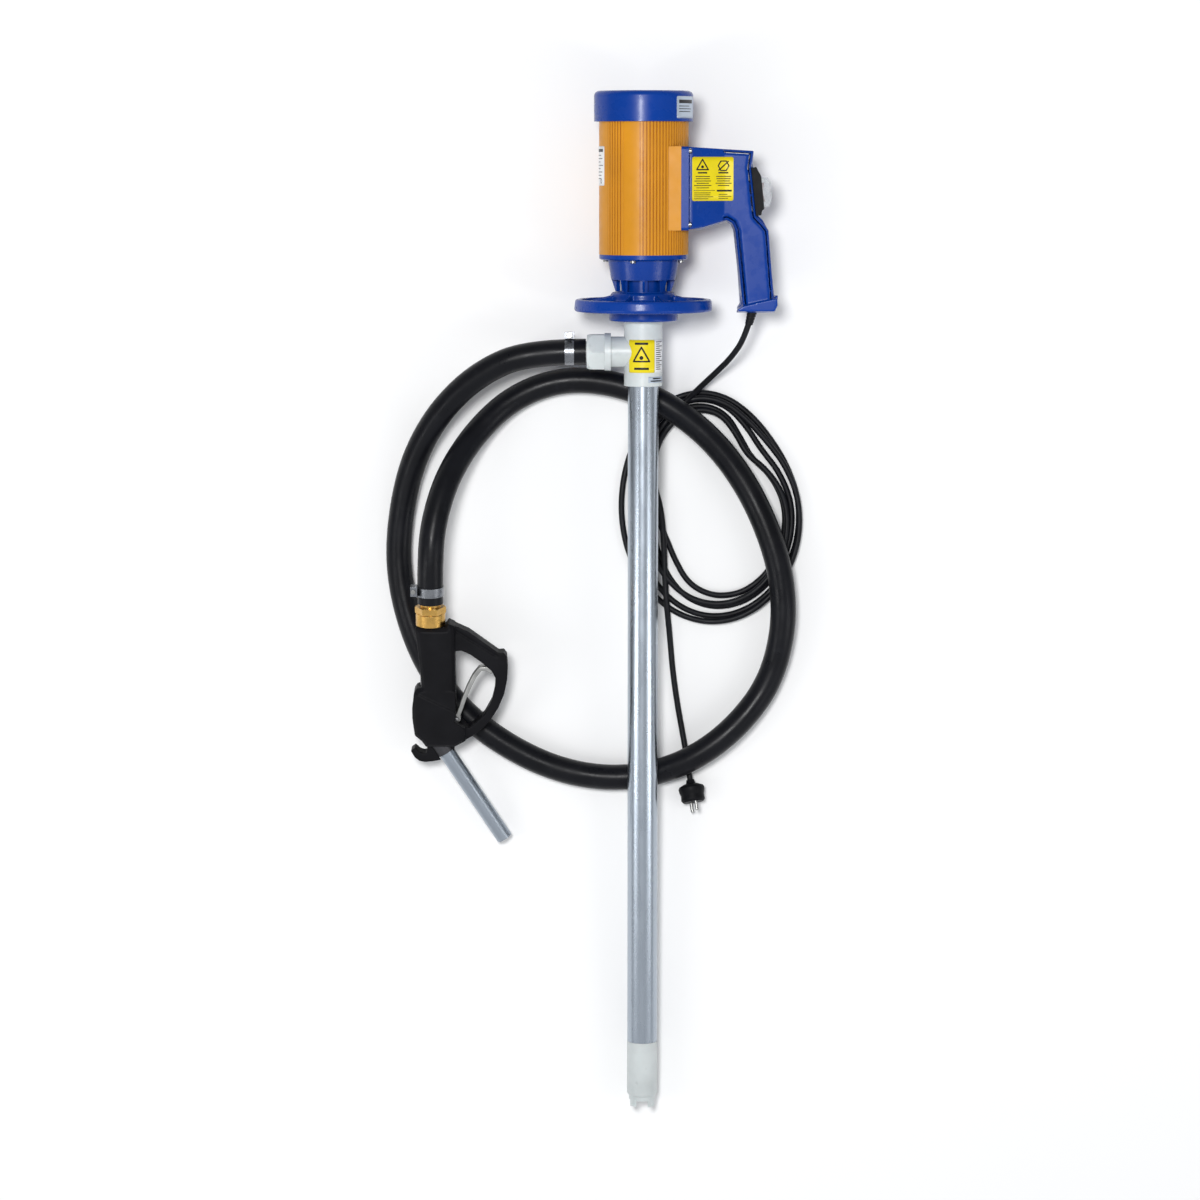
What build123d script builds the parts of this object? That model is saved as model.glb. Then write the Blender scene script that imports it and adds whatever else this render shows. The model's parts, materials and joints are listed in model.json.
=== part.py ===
from build123d import *
import math
import os

# Drum barrel pump, lying on the floor with its hose and its mains cable.
# Pump frame: +Z runs up the pump from its foot to the motor, +X to the handle, -Y faces up.
# Row frame: +Z up from the floor, +Y from the foot to the motor, all sizes in millimetres.

# Clearances
SEAT_GAP = 0.1
RUN_GAP = 0.04
FREE_GAP = 0.3

# Immersion tube and foot
TUBE_OUTER_D = 41.0
TUBE_WALL = 1.5
TUBE_BOTTOM = 90.4
TUBE_SOCKET_DEPTH = 18.0
FOOT_OUTER_D = 41.6
FOOT_WALL = 3.0
FOOT_TIP_D = 36.0
FOOT_TIP_LENGTH = 17.6
FOOT_NOTCH_DEPTH = 8.4
FOOT_LEG_WIDTH = 12.5
FOOT_LEGS = 4
FOOT_SPIGOT_LENGTH = 24.0
FOOT_HUB_D = 20.0
FOOT_HUB_LOW = 62.0
FOOT_HUB_HIGH = 84.0
FOOT_ARMS = 3
FOOT_ARM_THICKNESS = 4.0
O_RING_SECTION_D = 2.0
O_RING_HEIGHT = 101.0

# Drive shaft, inner tube and impeller
SHAFT_D = 8.0
SHAFT_BOTTOM = 26.0
SHAFT_TOP = 1103.5
INNER_TUBE_D = 16.0
INNER_TUBE_WALL = 1.2
BUSH_D = 13.2
BUSH_LENGTH = 16.0
TUBE_BEARING_HEIGHTS = (260.0, 480.0, 700.0, 920.0)
IMPELLER_D = 33.0
IMPELLER_HUB_D = 14.0
IMPELLER_LOW = 30.0
IMPELLER_LENGTH = 24.0
IMPELLER_BLADES = 4
IMPELLER_BLADE_THICKNESS = 2.4
IMPELLER_PITCH_ANGLE = 32.0

# Pump head, a tee with a side branch
HEAD_D = 51.5
HEAD_BOTTOM = 991.3
HEAD_BORE_D = 34.0
HEAD_CHAMBER_TOP = 1059.5
HEAD_FLANGE_D = 70.0
HEAD_FLANGE_BOTTOM = 1087.5
HEAD_TOP = 1097.5
HEAD_CUP_D = 44.0
HEAD_CUP_BOTTOM = 1075.5
BRANCH_HEIGHT = 1036.9
BRANCH_D = 41.0
BRANCH_BORE_D = 26.0
BRANCH_REACH = 58.0
SEAL_D = 26.0
SEAL_HEIGHT = 8.0

# Hand wheel and its thrust ring
WHEEL_D = 185.0
WHEEL_RIM_BOTTOM = 1091.0
WHEEL_RIM_HEIGHT = 16.5
WHEEL_RIM_WIDTH = 9.0
WHEEL_RIM_ROUND = 3.0
WHEEL_WEB_THICKNESS = 5.0
WHEEL_WEB_BOTTOM = 1092.5
WHEEL_SKIRT_D = 92.0
WHEEL_SKIRT_BOTTOM = 1078.5
WHEEL_HUB_D = 88.0
WHEEL_HUB_TOP = 1117.0
WHEEL_LIP = 4.5
WHEEL_RIBS = 8
WHEEL_RIB_THICKNESS = 4.0
THRUST_RING_HEIGHT = 4.0

# Motor end bell
SPIGOT_D = 74.0
NECK_D = 72.6
NECK_WALL = 5.0
CONE_BOTTOM = 1133.5
CONE_TOP = 1160.0
CONE_LOW_D = 86.0
CONE_HIGH_D = 95.0
BELL_RING_D = 118.0
BELL_RING_TOP = 1167.1
BELL_WALL = 3.5
BELL_WINDOWS = 8
BELL_WINDOW_LOW = 1118.0
BELL_ARMS = 4
BELL_HUB_D = 34.0
COUPLING_GUARD_D = 56.0
COUPLING_GUARD_BORE_D = 32.0
FIRST_BELL_SCREW_ANGLE = -106.0

# Motor barrel
BARREL_D = 118.5
BARREL_WALL = 5.0
BARREL_TOP = 1351.5
RIB_HEIGHT = 1.0
RIB_PITCH_ANGLE = 4.3
RIB_SHARE = 0.55
PAD_HALF_WIDTH = 50.0
PAD_BOTTOM = 1199.7
PAD_TOP = 1310.2
PAD_FACE = 49.2
PAD_WINDOW_WIDTH = 60.0
PAD_WINDOW_HEIGHT = 70.0
BOSS_D = 9.0
BOSS_HEIGHT = 22.0
BELL_SCREW_CIRCLE_D = 104.0
BELL_SCREW_D = 4.0
BELL_SCREW_HEAD_D = 7.5

# Fan cap
CAP_D = 132.0
CAP_BOTTOM = 1343.1
CAP_TOP = 1383.5
CAP_WALL = 3.5
CAP_ROUND = 7.0
CAP_SLOTS = 16
CAP_SCREW_CIRCLE_D = 92.0
CAP_SCREW_D = 4.0
CAP_SCREW_HEAD_D = 8.0
CAP_SCREWS = 4
CAP_POST_D = 13.0
CAP_SCREW_HEAD_HEIGHT = 2.4
CAP_SCREW_SUNK = 0.4

# Motor inside
BRACKET_BOTTOM = 1323.5
BRACKET_THICKNESS = 6.0
MOTOR_SHAFT_D = 10.0
MOTOR_SHAFT_TOP = 1345.5
MOTOR_SHAFT_BOTTOM = 1107.5
CLAW_D = 22.0
CLAW_LENGTH = 14.0
UPPER_BEARING_D = 26.0
LOWER_BEARING_D = 28.0
BEARING_HEIGHT = 8.0
LOWER_BEARING_BOTTOM = 1141.5
STATOR_D = 107.0
STATOR_BORE_D = 84.0
STATOR_BOTTOM = 1221.5
STATOR_TOP = 1279.5
POLE_WIDTH = 32.0
ARMATURE_D = 50.0
ARMATURE_SLOTS = 12
COIL_WIDTH = 6.0
COIL_THICKNESS = 7.0
WINDING_D = 44.0
WINDING_LENGTH = 11.0
COMMUTATOR_D = 28.0
COMMUTATOR_BOTTOM = 1295.5
COMMUTATOR_LENGTH = 18.0
COMMUTATOR_BARS = 24
BRUSH_WIDTH = 8.0
BRUSH_HEIGHT = 10.0
BRUSH_LENGTH = 20.0
HOLDER_WALL = 1.6
FAN_D = 76.0
FAN_HUB_D = 20.0
FAN_BOTTOM = 1168.0
FAN_HEIGHT = 18.0
FAN_DISC_THICKNESS = 2.0
FAN_BLADES = 9

# Handle
FRAME_THICKNESS = 10.0
HANDLE_HALF_THICKNESS = 21.0
HANDLE_WALL = 3.0
HANDLE_ROUND = 7.0
GRIP_FOOT_HALF_WIDTH = 24.0
NECK_HALF_WIDTH = 41.0
HANDLE_SCREW_D = 4.0
HANDLE_SCREW_HEAD_D = 7.0
HANDLE_TOP_SLOPE = [(146.3, 104.7), (142.8, 83.3)]
HANDLE_BACK = [(149.7, 18.8), (156.3, 11.8), (166.5, 0.0), (174.4, -94.2), (174.8, -107.0)]
HANDLE_FRONT = [(133.5, -107.0), (122.6, 0.0), (118.5, 8.8), (110.8, 13.4), (77.0, 3.7)]
GRIP_FOOT = [(125.9, -104.6), (126.8, -107.6), (175.0, -107.6), (179.2, -99.6), (178.3, -90.3), (134.0, -100.2)]
CABLE_EXIT = (146.4, -107.6)
BUSH_LEAN = (-0.25, 0.10, -0.963)
CABLE_BUSH_LENGTH = 22.0

# Switch
SWITCH_LOW = (149.7, 0.0, PAD_BOTTOM + 18.8)
SWITCH_LENGTH = 64.0
SWITCH_LEAN = 6.1
SWITCH_DEPTH = 12.0
SWITCH_WIDTH = 30.0
ROCKER_LENGTH = 26.0
ROCKER_WIDTH = 14.0
ROCKER_MIDDLE = 30.0
ROCKER_PIVOT_DEPTH = 2.0
ROCKER_PIVOT_D = 2.4
ROCKER_PIVOT_LENGTH = 1.6
ROCKER_SIDE_GAP = 0.7
COVER_LENGTH = 42.0
COVER_WIDTH = 24.0
COVER_HEIGHT = 12.0
COVER_WALL = 1.2

# Union nut and hose tail at the branch
NUT_START = 43.4
NUT_FLANGE_END = 52.0
NUT_END = 75.8
NUT_ACROSS_CORNERS = 53.0
NUT_FLANGE_D = 50.0
HOSE_TAIL_COLLAR_D = 29.0
HOSE_TAIL_COLLAR_END = 77.0
HOSE_TAIL_END = 112.0
HOSE_TAIL_BORE_D = 19.0
GASKET_THICKNESS = 2.0

# Hose and its clamps
HOSE_D = 35.0
HOSE_BORE_D = 25.0
HOSE_TAIL_D = 24.6
CLAMP_WIDTH = 12.5
CLAMP_THICKNESS = 0.9
OUTLET_CLAMP_START = 15.8
NOZZLE_CLAMP_START = 11.0

# Mains cable and plug
CABLE_D = 8.0
PLUG_PIN_D = 4.8
PLUG_PIN_LENGTH = 13.0
PLUG_PIN_SPACING = 19.0
PLUG_GRIP_D = 36.0
PLUG_FACE_D = 32.0
PLUG_LENGTH = 26.0
PLUG_BOOT_LENGTH = 5.0
PLUG_BOOT_D = 11.0

# Nozzle
NOZZLE_INLET = (-218.8, -21.0, 83.0)
NOZZLE_SLOPE = 12.0
NOZZLE_BODY_HALF = 20.0
GUARD_HALF = 11.0
VALVE_BODY_D = 30.0
VALVE_BORE_D = 21.0
VALVE_BODY_LENGTH = 150.0
SPOUT_D = 22.0
SPOUT_BORE_D = 18.0
SPOUT_LEAN = 32.2
SPOUT_START = (9.0, 0.0, -164.0)
SPOUT_LENGTH = 166.0
SPOUT_SEAT = 18.0
SPOUT_SEAT_D = 21.0
LEVER_PIVOT = (34.0, 0.0, -131.0)
LEVER_PIN_D = 5.0
LEVER_REACH = 89.0
LEVER_HALF = 7.0
LEVER_THICKNESS = 6.0
STEM_D = 6.0
BRASS_RING_D = 40.0
BRASS_RING_HEIGHT = 17.5
BRASS_HEX_CORNERS = 42.0
BRASS_HEX_HEIGHT = 9.0
BRASS_BORE_D = 19.0
BRASS_TAIL_LENGTH = 38.0
HOSE_END_HEIGHT = 31.0

# Placing on the floor: the pump rests on its wheel's rim and on the hose that crosses below it
AXIS_X = 68.0
FOOT_Y = -688.0
CROSSING_HEIGHT = 463.0
FLOOR_GAP = 1.2

# Free hose route in the row frame, between its first and last runs, with heights below the hose
HOSE_ROUTE = [
    (-152.0, 319.0, 60.5),
    (-206.0, 269.0, 38.5),
    (-243.0, 205.0, 18.5),
    (-261.0, 134.0, 5.5),
    (-267.0, 60.0, 0.1),
    (-254.0, -14.0, 0.1),
    (-226.0, -84.0, 0.1),
    (-180.0, -146.0, 0.1),
    (-118.0, -193.0, 0.1),
    (-48.0, -226.0, 0.1),
    (20.0, -238.0, 0.1),
    (84.0, -232.0, 0.1),
    (148.0, -204.0, 15.5),
    (204.0, -158.0, 13.5),
    (245.0, -100.0, 7.5),
    (262.0, -24.0, 17.5),
    (257.0, 48.0, 19.5),
    (235.0, 116.0, 18.5),
    (203.0, 178.0, 13.5),
    (158.0, 234.0, 15.5),
    (98.0, 279.0, 19.5),
    (32.0, 305.0, 9.5),
    (-40.0, 311.0, 0.5),
    (-107.0, 287.0, 2.5),
    (-158.0, 240.0, 18.5),
    (-194.0, 184.0, 56.5),
    (-213.0, 124.0, 79.5),
]
HOSE_FIRST_RUN = 77.0
HOSE_LAST_RUN = 60.0

# Cable route in the row frame: from the handle down to the coil, and from the coil to the plug
LEAD_FIRST_RUN = 36.0
LEAD_ROUTE = [
    (188.0, 340.0, 62.0),
    (164.0, 316.0, 37.0),
    (139.0, 292.0, 16.0),
    (119.0, 271.0, 11.0),
]
TAIL_ROUTE = [
    (99.0, 32.0, 12.4),
    (102.0, -6.0, 12.0),
    (106.0, -44.0, 4.1),
    (110.0, -92.0, 4.1),
    (117.0, -140.0, 4.1),
    (124.0, -178.0, 4.1),
    (130.0, -213.0, 7.2),
    (134.0, -240.0, 14.4),
]
COIL_CENTRE = (168.0, 137.0)
COIL_HALF_SIZES = (126.0, 162.0)
COIL_GAP_CENTRE = (178.5, 143.0)
COIL_GAP_HALF_SIZES = (81.5, 134.0)
COIL_HEIGHT = 16.4

NOTES = []


def tilt_of_pump():
    """Degrees that the motor end is raised, and the height of the foot's centre."""
    wheel_arm = WHEEL_RIM_BOTTOM + WHEEL_RIM_ROUND - CROSSING_HEIGHT
    radius_step = WHEEL_D / 2 - WHEEL_RIM_ROUND - TUBE_OUTER_D / 2
    drop = HOSE_D + FLOOR_GAP - WHEEL_RIM_ROUND
    reach = math.hypot(wheel_arm, radius_step)
    tilt = math.atan2(radius_step, wheel_arm) - math.asin(drop / reach)
    foot = HOSE_D + FLOOR_GAP + TUBE_OUTER_D / 2 * math.cos(tilt) - CROSSING_HEIGHT * math.sin(tilt)
    return math.degrees(tilt), foot


PUMP_TILT, FOOT_Z = tilt_of_pump()
PUMP_PLACE = Pos(AXIS_X, FOOT_Y, FOOT_Z) * Rot(X=-90 + PUMP_TILT)
NOZZLE_PLACE = Pos(*NOZZLE_INLET) * Rot(X=-90 + NOZZLE_SLOPE)


def disc(diameter, low, high):
    """Solid cylinder on the Z axis between two heights."""
    return Pos(0, 0, (low + high) / 2) * Cylinder(diameter / 2, high - low)


def ring(outer, inner, low, high):
    """Tube on the Z axis, given by its two diameters and its two heights."""
    return disc(outer, low, high) - disc(inner, low - 1, high + 1)


def block(x_low, x_high, y_low, y_high, z_low, z_high):
    """Box given by its limits along each axis."""
    middle = Pos((x_low + x_high) / 2, (y_low + y_high) / 2, (z_low + z_high) / 2)
    return middle * Box(x_high - x_low, y_high - y_low, z_high - z_low)


def turned(profile):
    """Solid of revolution about Z from (radius, height) points."""
    return revolve(Plane.XZ * make_face(Polyline(*profile, close=True)), Axis.Z)


def around(shape, count, first=0.0):
    """Copies of a shape spread evenly about Z."""
    return [Rot(Z=first + index * 360 / count) * shape for index in range(count)]


def plate(points, y_low, y_high):
    """Prism of an (x, z) outline between two depths along Y."""
    face = Plane.XZ * make_face(Polyline(*points, close=True))
    return extrude(face, amount=y_high - y_low, dir=(0, 1, 0)).moved(Pos(0, y_low, 0))


def solids_of(shape):
    """The separate solids of a shape or of a list of shapes."""
    if isinstance(shape, (list, tuple)):
        return [solid for item in shape for solid in solids_of(item)]
    return list(shape.solids())


def write(name, shape, place=None):
    """Place a node's solids in the row frame and write them to one file."""
    solids = solids_of(shape)
    if place is not None:
        solids = [place * solid for solid in solids]
    export_step(Compound(children=solids), os.path.join("parts", name + ".step"))


# ---------------------------------------------------------------- immersion tube and foot


def outer_tube():
    """Plain tube from the foot's shoulder up into the pump head's socket."""
    return ring(
        TUBE_OUTER_D, TUBE_OUTER_D - 2 * TUBE_WALL, TUBE_BOTTOM, HEAD_BOTTOM + TUBE_SOCKET_DEPTH
    )


def pump_foot():
    """Castellated foot with a chamfered tip, a spigot for the tube and a hub on three arms."""
    bore = FOOT_OUTER_D - 2 * FOOT_WALL
    spigot = TUBE_OUTER_D - 2 * TUBE_WALL - 2 * SEAT_GAP
    spigot_top = TUBE_BOTTOM + FOOT_SPIGOT_LENGTH
    body = turned(
        [
            (bore / 2 - 1.5, 0),
            (FOOT_TIP_D / 2, 0),
            (FOOT_TIP_D / 2 + 0.4, FOOT_TIP_LENGTH - 4),
            (FOOT_OUTER_D / 2, FOOT_TIP_LENGTH),
            (FOOT_OUTER_D / 2, TUBE_BOTTOM - SEAT_GAP),
            (spigot / 2, TUBE_BOTTOM - SEAT_GAP),
            (spigot / 2, spigot_top - 1),
            (spigot / 2 - 1, spigot_top),
            (bore / 2 - 1.5, spigot_top),
            (bore / 2 - 1.5, TUBE_BOTTOM - 8),
            (bore / 2, TUBE_BOTTOM - 11),
            (bore / 2, FOOT_TIP_LENGTH + 3),
            (bore / 2 - 1.5, FOOT_TIP_LENGTH),
        ]
    )
    groove_depth = O_RING_SECTION_D * 0.8
    low = O_RING_HEIGHT - O_RING_SECTION_D * 0.65
    high = O_RING_HEIGHT + O_RING_SECTION_D * 0.65
    body -= ring(spigot + 2, spigot - 2 * groove_depth, low, high)
    step = 360 / FOOT_LEGS
    leg_angle = math.degrees(FOOT_LEG_WIDTH / (FOOT_TIP_D / 2))
    notch_width = 2 * FOOT_TIP_D / 2 * math.sin(math.radians(step - leg_angle) / 2)
    notch = block(6, FOOT_TIP_D, -notch_width / 2, notch_width / 2, -1, FOOT_NOTCH_DEPTH)
    for cut in around(notch, FOOT_LEGS):
        body -= cut
    hub = ring(FOOT_HUB_D, BUSH_D + 2 * SEAT_GAP, FOOT_HUB_LOW, FOOT_HUB_HIGH)
    arm_reach = FOOT_OUTER_D / 2 - FOOT_WALL / 2
    half = FOOT_ARM_THICKNESS / 2
    arm = block(FOOT_HUB_D / 2 - 1, arm_reach, -half, half, FOOT_HUB_LOW, FOOT_HUB_HIGH - 5)
    for item in [hub] + around(arm, FOOT_ARMS, first=90):
        body += item
    inlet_socket = INNER_TUBE_D + 2 * SEAT_GAP
    body -= disc(inlet_socket, FOOT_HUB_HIGH - 5, FOOT_HUB_HIGH + 1)
    return body


def foot_o_ring():
    """Seal ring in the spigot's groove."""
    seat = TUBE_OUTER_D / 2 - TUBE_WALL - SEAT_GAP - O_RING_SECTION_D / 2
    return Pos(0, 0, O_RING_HEIGHT) * Torus(seat, O_RING_SECTION_D / 2 - SEAT_GAP)


def foot_bush():
    """Plain bearing for the shaft in the foot's hub."""
    return ring(BUSH_D, SHAFT_D + 2 * RUN_GAP, FOOT_HUB_LOW, FOOT_HUB_HIGH - 5.2)


def inner_tube():
    """Guide tube round the shaft, from the foot's hub to the pump head's wall."""
    return ring(
        INNER_TUBE_D, INNER_TUBE_D - 2 * INNER_TUBE_WALL, FOOT_HUB_HIGH - 4.8, HEAD_CHAMBER_TOP + 8
    )


def tube_bearings():
    """Four shaft bushes spread along the guide tube."""
    outer = INNER_TUBE_D - 2 * INNER_TUBE_WALL - 2 * SEAT_GAP
    return [
        ring(outer, SHAFT_D + 2 * RUN_GAP, height - BUSH_LENGTH / 2, height + BUSH_LENGTH / 2)
        for height in TUBE_BEARING_HEIGHTS
    ]


def drive_shaft():
    """Long shaft with the upper half of the dog coupling on its top."""
    shaft = disc(SHAFT_D, SHAFT_BOTTOM, SHAFT_TOP)
    half = 3.0
    tongue = block(-CLAW_D / 2 + 3, CLAW_D / 2 - 3, -half, half, SHAFT_TOP - 6, SHAFT_TOP + 12)
    collar = disc(CLAW_D - 4, SHAFT_TOP - 12, SHAFT_TOP)
    return shaft + collar + (tongue & disc(CLAW_D - 6, SHAFT_TOP - 6, SHAFT_TOP + 12))


def impeller():
    """Axial impeller: a domed hub with four pitched blades, fixed on the shaft."""
    top = IMPELLER_LOW + IMPELLER_LENGTH
    hub = turned(
        [
            (0, IMPELLER_LOW - 7),
            (IMPELLER_HUB_D / 2 - 2, IMPELLER_LOW - 5),
            (IMPELLER_HUB_D / 2, IMPELLER_LOW),
            (IMPELLER_HUB_D / 2, top),
            (0, top),
        ]
    )
    middle = (IMPELLER_LOW + top) / 2
    flat = Box(IMPELLER_D, IMPELLER_BLADE_THICKNESS, IMPELLER_LENGTH * 1.1)
    blade = Pos(IMPELLER_D / 2, 0, middle) * Rot(X=IMPELLER_PITCH_ANGLE) * flat
    envelope = ring(IMPELLER_D, IMPELLER_HUB_D - 2, IMPELLER_LOW, top)
    body = hub
    for item in around(blade, IMPELLER_BLADES, first=15):
        body += item & envelope
    return body - disc(SHAFT_D, SHAFT_BOTTOM, top + 1)


# ---------------------------------------------------------------- pump head and outlet


def branch(diameter, start, end):
    """Cylinder along the side branch, from and to distances from the pump's axis."""
    length = end - start
    return Pos(-(start + end) / 2, 0, BRANCH_HEIGHT) * Rot(Y=90) * Cylinder(diameter / 2, length)


def pump_head():
    """Tee: a socket for the tube, a chamber, a side branch and a flange under the motor."""
    body = disc(HEAD_D, HEAD_BOTTOM, HEAD_FLANGE_BOTTOM + 1)
    body += disc(HEAD_FLANGE_D, HEAD_FLANGE_BOTTOM, HEAD_TOP - SEAT_GAP)
    body += branch(BRANCH_D, 0, NUT_START)
    body += branch(BRANCH_D - 4, 0, BRANCH_REACH)
    body -= disc(TUBE_OUTER_D + 2 * SEAT_GAP, HEAD_BOTTOM - 1, HEAD_BOTTOM + TUBE_SOCKET_DEPTH + SEAT_GAP)
    body -= disc(HEAD_BORE_D, HEAD_BOTTOM - 1, HEAD_CHAMBER_TOP)
    body -= branch(BRANCH_BORE_D, 0, BRANCH_REACH + 1)
    body -= disc(INNER_TUBE_D + 2 * SEAT_GAP, HEAD_CHAMBER_TOP - 1, HEAD_CHAMBER_TOP + 8.2)
    body -= disc(SHAFT_D + 3, HEAD_CHAMBER_TOP, HEAD_TOP)
    body -= disc(HEAD_CUP_D, HEAD_CUP_BOTTOM, HEAD_TOP + 1)
    foot_edge = body.edges().filter_by(GeomType.CIRCLE).group_by(Axis.Z)[0].sort_by(SortBy.RADIUS)[-1]
    return fillet(foot_edge, 1.2)


def shaft_seal():
    """Lip seal on the floor of the pump head's cup."""
    low = HEAD_CUP_BOTTOM + SEAT_GAP
    return ring(SEAL_D, SHAFT_D + 2 * RUN_GAP, low, low + SEAL_HEIGHT)


def seal_cover():
    """Ring that holds the seal down in the cup."""
    low = HEAD_CUP_BOTTOM + SEAT_GAP
    top = low + SEAL_HEIGHT + 3
    outer = HEAD_CUP_D - 2 * SEAT_GAP
    cover = ring(outer, SEAL_D + 2 * SEAT_GAP, low, top)
    return cover + ring(SEAL_D + 4, SHAFT_D + 2, low + SEAL_HEIGHT + SEAT_GAP, top)


def union_nut():
    """Hexagonal nut with a round flange and a chamfered outer end, on the side branch."""
    hexagon = extrude(RegularPolygon(NUT_ACROSS_CORNERS / 2, 6), NUT_END - NUT_FLANGE_END)
    across_flats = NUT_ACROSS_CORNERS * math.cos(math.pi / 6)
    cone = Cone(NUT_ACROSS_CORNERS / 2 + 9, across_flats / 2 - 1, NUT_END - NUT_FLANGE_END)
    hexagon &= Pos(0, 0, (NUT_END - NUT_FLANGE_END) / 2) * cone
    flange = Cylinder(NUT_FLANGE_D / 2, NUT_FLANGE_END - NUT_START)
    half = (NUT_FLANGE_END - NUT_START) / 2
    body = hexagon + Pos(0, 0, -half) * flange
    body = Pos(-NUT_FLANGE_END, 0, BRANCH_HEIGHT) * Rot(Y=-90) * Rot(Z=30) * body
    body -= branch(BRANCH_D - 4 + 2 * SEAT_GAP, NUT_START - 1, BRANCH_REACH + 9)
    return body - branch(HOSE_TAIL_COLLAR_D + 2 * SEAT_GAP, NUT_START, NUT_END + 1)


def union_gasket():
    """Flat seal between the branch's end and the hose tail."""
    start = BRANCH_REACH + SEAT_GAP
    return branch(BRANCH_D - 4, start, start + GASKET_THICKNESS) - branch(
        BRANCH_BORE_D, start - 1, start + GASKET_THICKNESS + 1
    )


def hose_tail():
    """Flanged tail with three barbs inside the hose."""
    start = BRANCH_REACH + 2 * SEAT_GAP + GASKET_THICKNESS
    seat = BRANCH_REACH + 9 - SEAT_GAP
    body = branch(BRANCH_D - 4, start, seat)
    body += branch(HOSE_TAIL_COLLAR_D, start, HOSE_TAIL_COLLAR_END - SEAT_GAP)
    body += branch(HOSE_TAIL_D - 1.6, start, HOSE_TAIL_END)
    for index in range(3):
        place = HOSE_TAIL_COLLAR_END + 6 + index * 9
        barb = Cone(HOSE_TAIL_D / 2, HOSE_TAIL_D / 2 - 1.2, 5)
        body += Pos(-place - 2.5, 0, BRANCH_HEIGHT) * Rot(Y=-90) * barb
    return body - branch(HOSE_TAIL_BORE_D, start - 1, HOSE_TAIL_END + 1)


def clamp_band():
    """Worm-drive band about Z with its housing on +X, from 0 to its width."""
    inner = HOSE_D / 2 + SEAT_GAP
    outer = inner + CLAMP_THICKNESS
    band = ring(2 * outer, 2 * inner, 0, CLAMP_WIDTH)
    housing = block(inner + 0.2, outer + 8, -7, 7, -0.5, CLAMP_WIDTH + 0.5)
    housing -= disc(2 * inner, -2, CLAMP_WIDTH + 2)
    bore = Pos(outer + 4.2, 0, CLAMP_WIDTH / 2) * Rot(X=90) * Cylinder(3.4, 20)
    tongue = block(outer - 1.5, outer - 0.5, 6, 16, 1, CLAMP_WIDTH - 1)
    return band + housing + tongue - bore


def clamp_screw():
    """Worm screw of a hose clamp with a slotted hexagonal head."""
    outer = HOSE_D / 2 + SEAT_GAP + CLAMP_THICKNESS
    worm = Cylinder(3.2, 16)
    head = Pos(0, 0, 10.5) * extrude(RegularPolygon(4.4, 6), 4.5, both=False)
    neck = Pos(0, 0, 9) * Cylinder(2.4, 4)
    slot = Pos(0, 0, 15) * Box(1.2, 12, 2.4)
    screw = worm + neck + head - slot
    return Pos(outer + 4.2, 0, CLAMP_WIDTH / 2) * Rot(X=90) * screw


# ---------------------------------------------------------------- hand wheel


def hand_wheel():
    """Clamping wheel: rim, dished ribbed web, threaded hub and a lip under the thrust ring."""
    rim_top = WHEEL_RIM_BOTTOM + WHEEL_RIM_HEIGHT
    outer = WHEEL_D / 2
    cut = WHEEL_RIM_ROUND
    rim = turned(
        [
            (outer - cut, WHEEL_RIM_BOTTOM),
            (outer - cut * 0.3, WHEEL_RIM_BOTTOM + cut * 0.3),
            (outer, WHEEL_RIM_BOTTOM + cut),
            (outer - 0.9, rim_top - cut),
            (outer - 0.9 - cut * 0.3, rim_top - cut * 0.3),
            (outer - 0.9 - cut, rim_top),
            (outer - WHEEL_RIM_WIDTH, rim_top),
            (outer - WHEEL_RIM_WIDTH, WHEEL_RIM_BOTTOM),
        ]
    )
    web_top = WHEEL_WEB_BOTTOM + WHEEL_WEB_THICKNESS
    web = turned(
        [
            (WHEEL_HUB_D / 2 - 2, WHEEL_WEB_BOTTOM),
            (outer - WHEEL_RIM_WIDTH + 1, WHEEL_WEB_BOTTOM),
            (outer - WHEEL_RIM_WIDTH + 1, web_top),
            (WHEEL_HUB_D / 2 - 2, web_top + 9),
        ]
    )
    bore = SPIGOT_D + 2 * FREE_GAP
    hub = turned(
        [
            (0, WHEEL_SKIRT_BOTTOM),
            (WHEEL_SKIRT_D / 2 - 1, WHEEL_SKIRT_BOTTOM),
            (WHEEL_SKIRT_D / 2, WHEEL_SKIRT_BOTTOM + 1),
            (WHEEL_SKIRT_D / 2, WHEEL_WEB_BOTTOM + 1),
            (WHEEL_HUB_D / 2, WHEEL_WEB_BOTTOM + 1),
            (WHEEL_HUB_D / 2, WHEEL_HUB_TOP - 3),
            (WHEEL_HUB_D / 2 - 3, WHEEL_HUB_TOP),
            (0, WHEEL_HUB_TOP),
        ]
    )
    half = WHEEL_RIB_THICKNESS / 2
    rib = plate(
        [
            (WHEEL_HUB_D / 2 - 1, WHEEL_WEB_BOTTOM + 2),
            (outer - WHEEL_RIM_WIDTH + 1, WHEEL_WEB_BOTTOM + 2),
            (outer - WHEEL_RIM_WIDTH + 1, rim_top - 5),
            (WHEEL_HUB_D / 2 - 1, WHEEL_HUB_TOP - 4),
        ],
        -half,
        half,
    )
    body = rim + web + hub
    for item in around(rib, WHEEL_RIBS, first=22.5):
        body += item
    body -= disc(HEAD_D + 3, WHEEL_SKIRT_BOTTOM - 1, WHEEL_SKIRT_BOTTOM + WHEEL_LIP + 1)
    return body - disc(bore, WHEEL_SKIRT_BOTTOM + WHEEL_LIP, WHEEL_HUB_TOP + 1)


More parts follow.
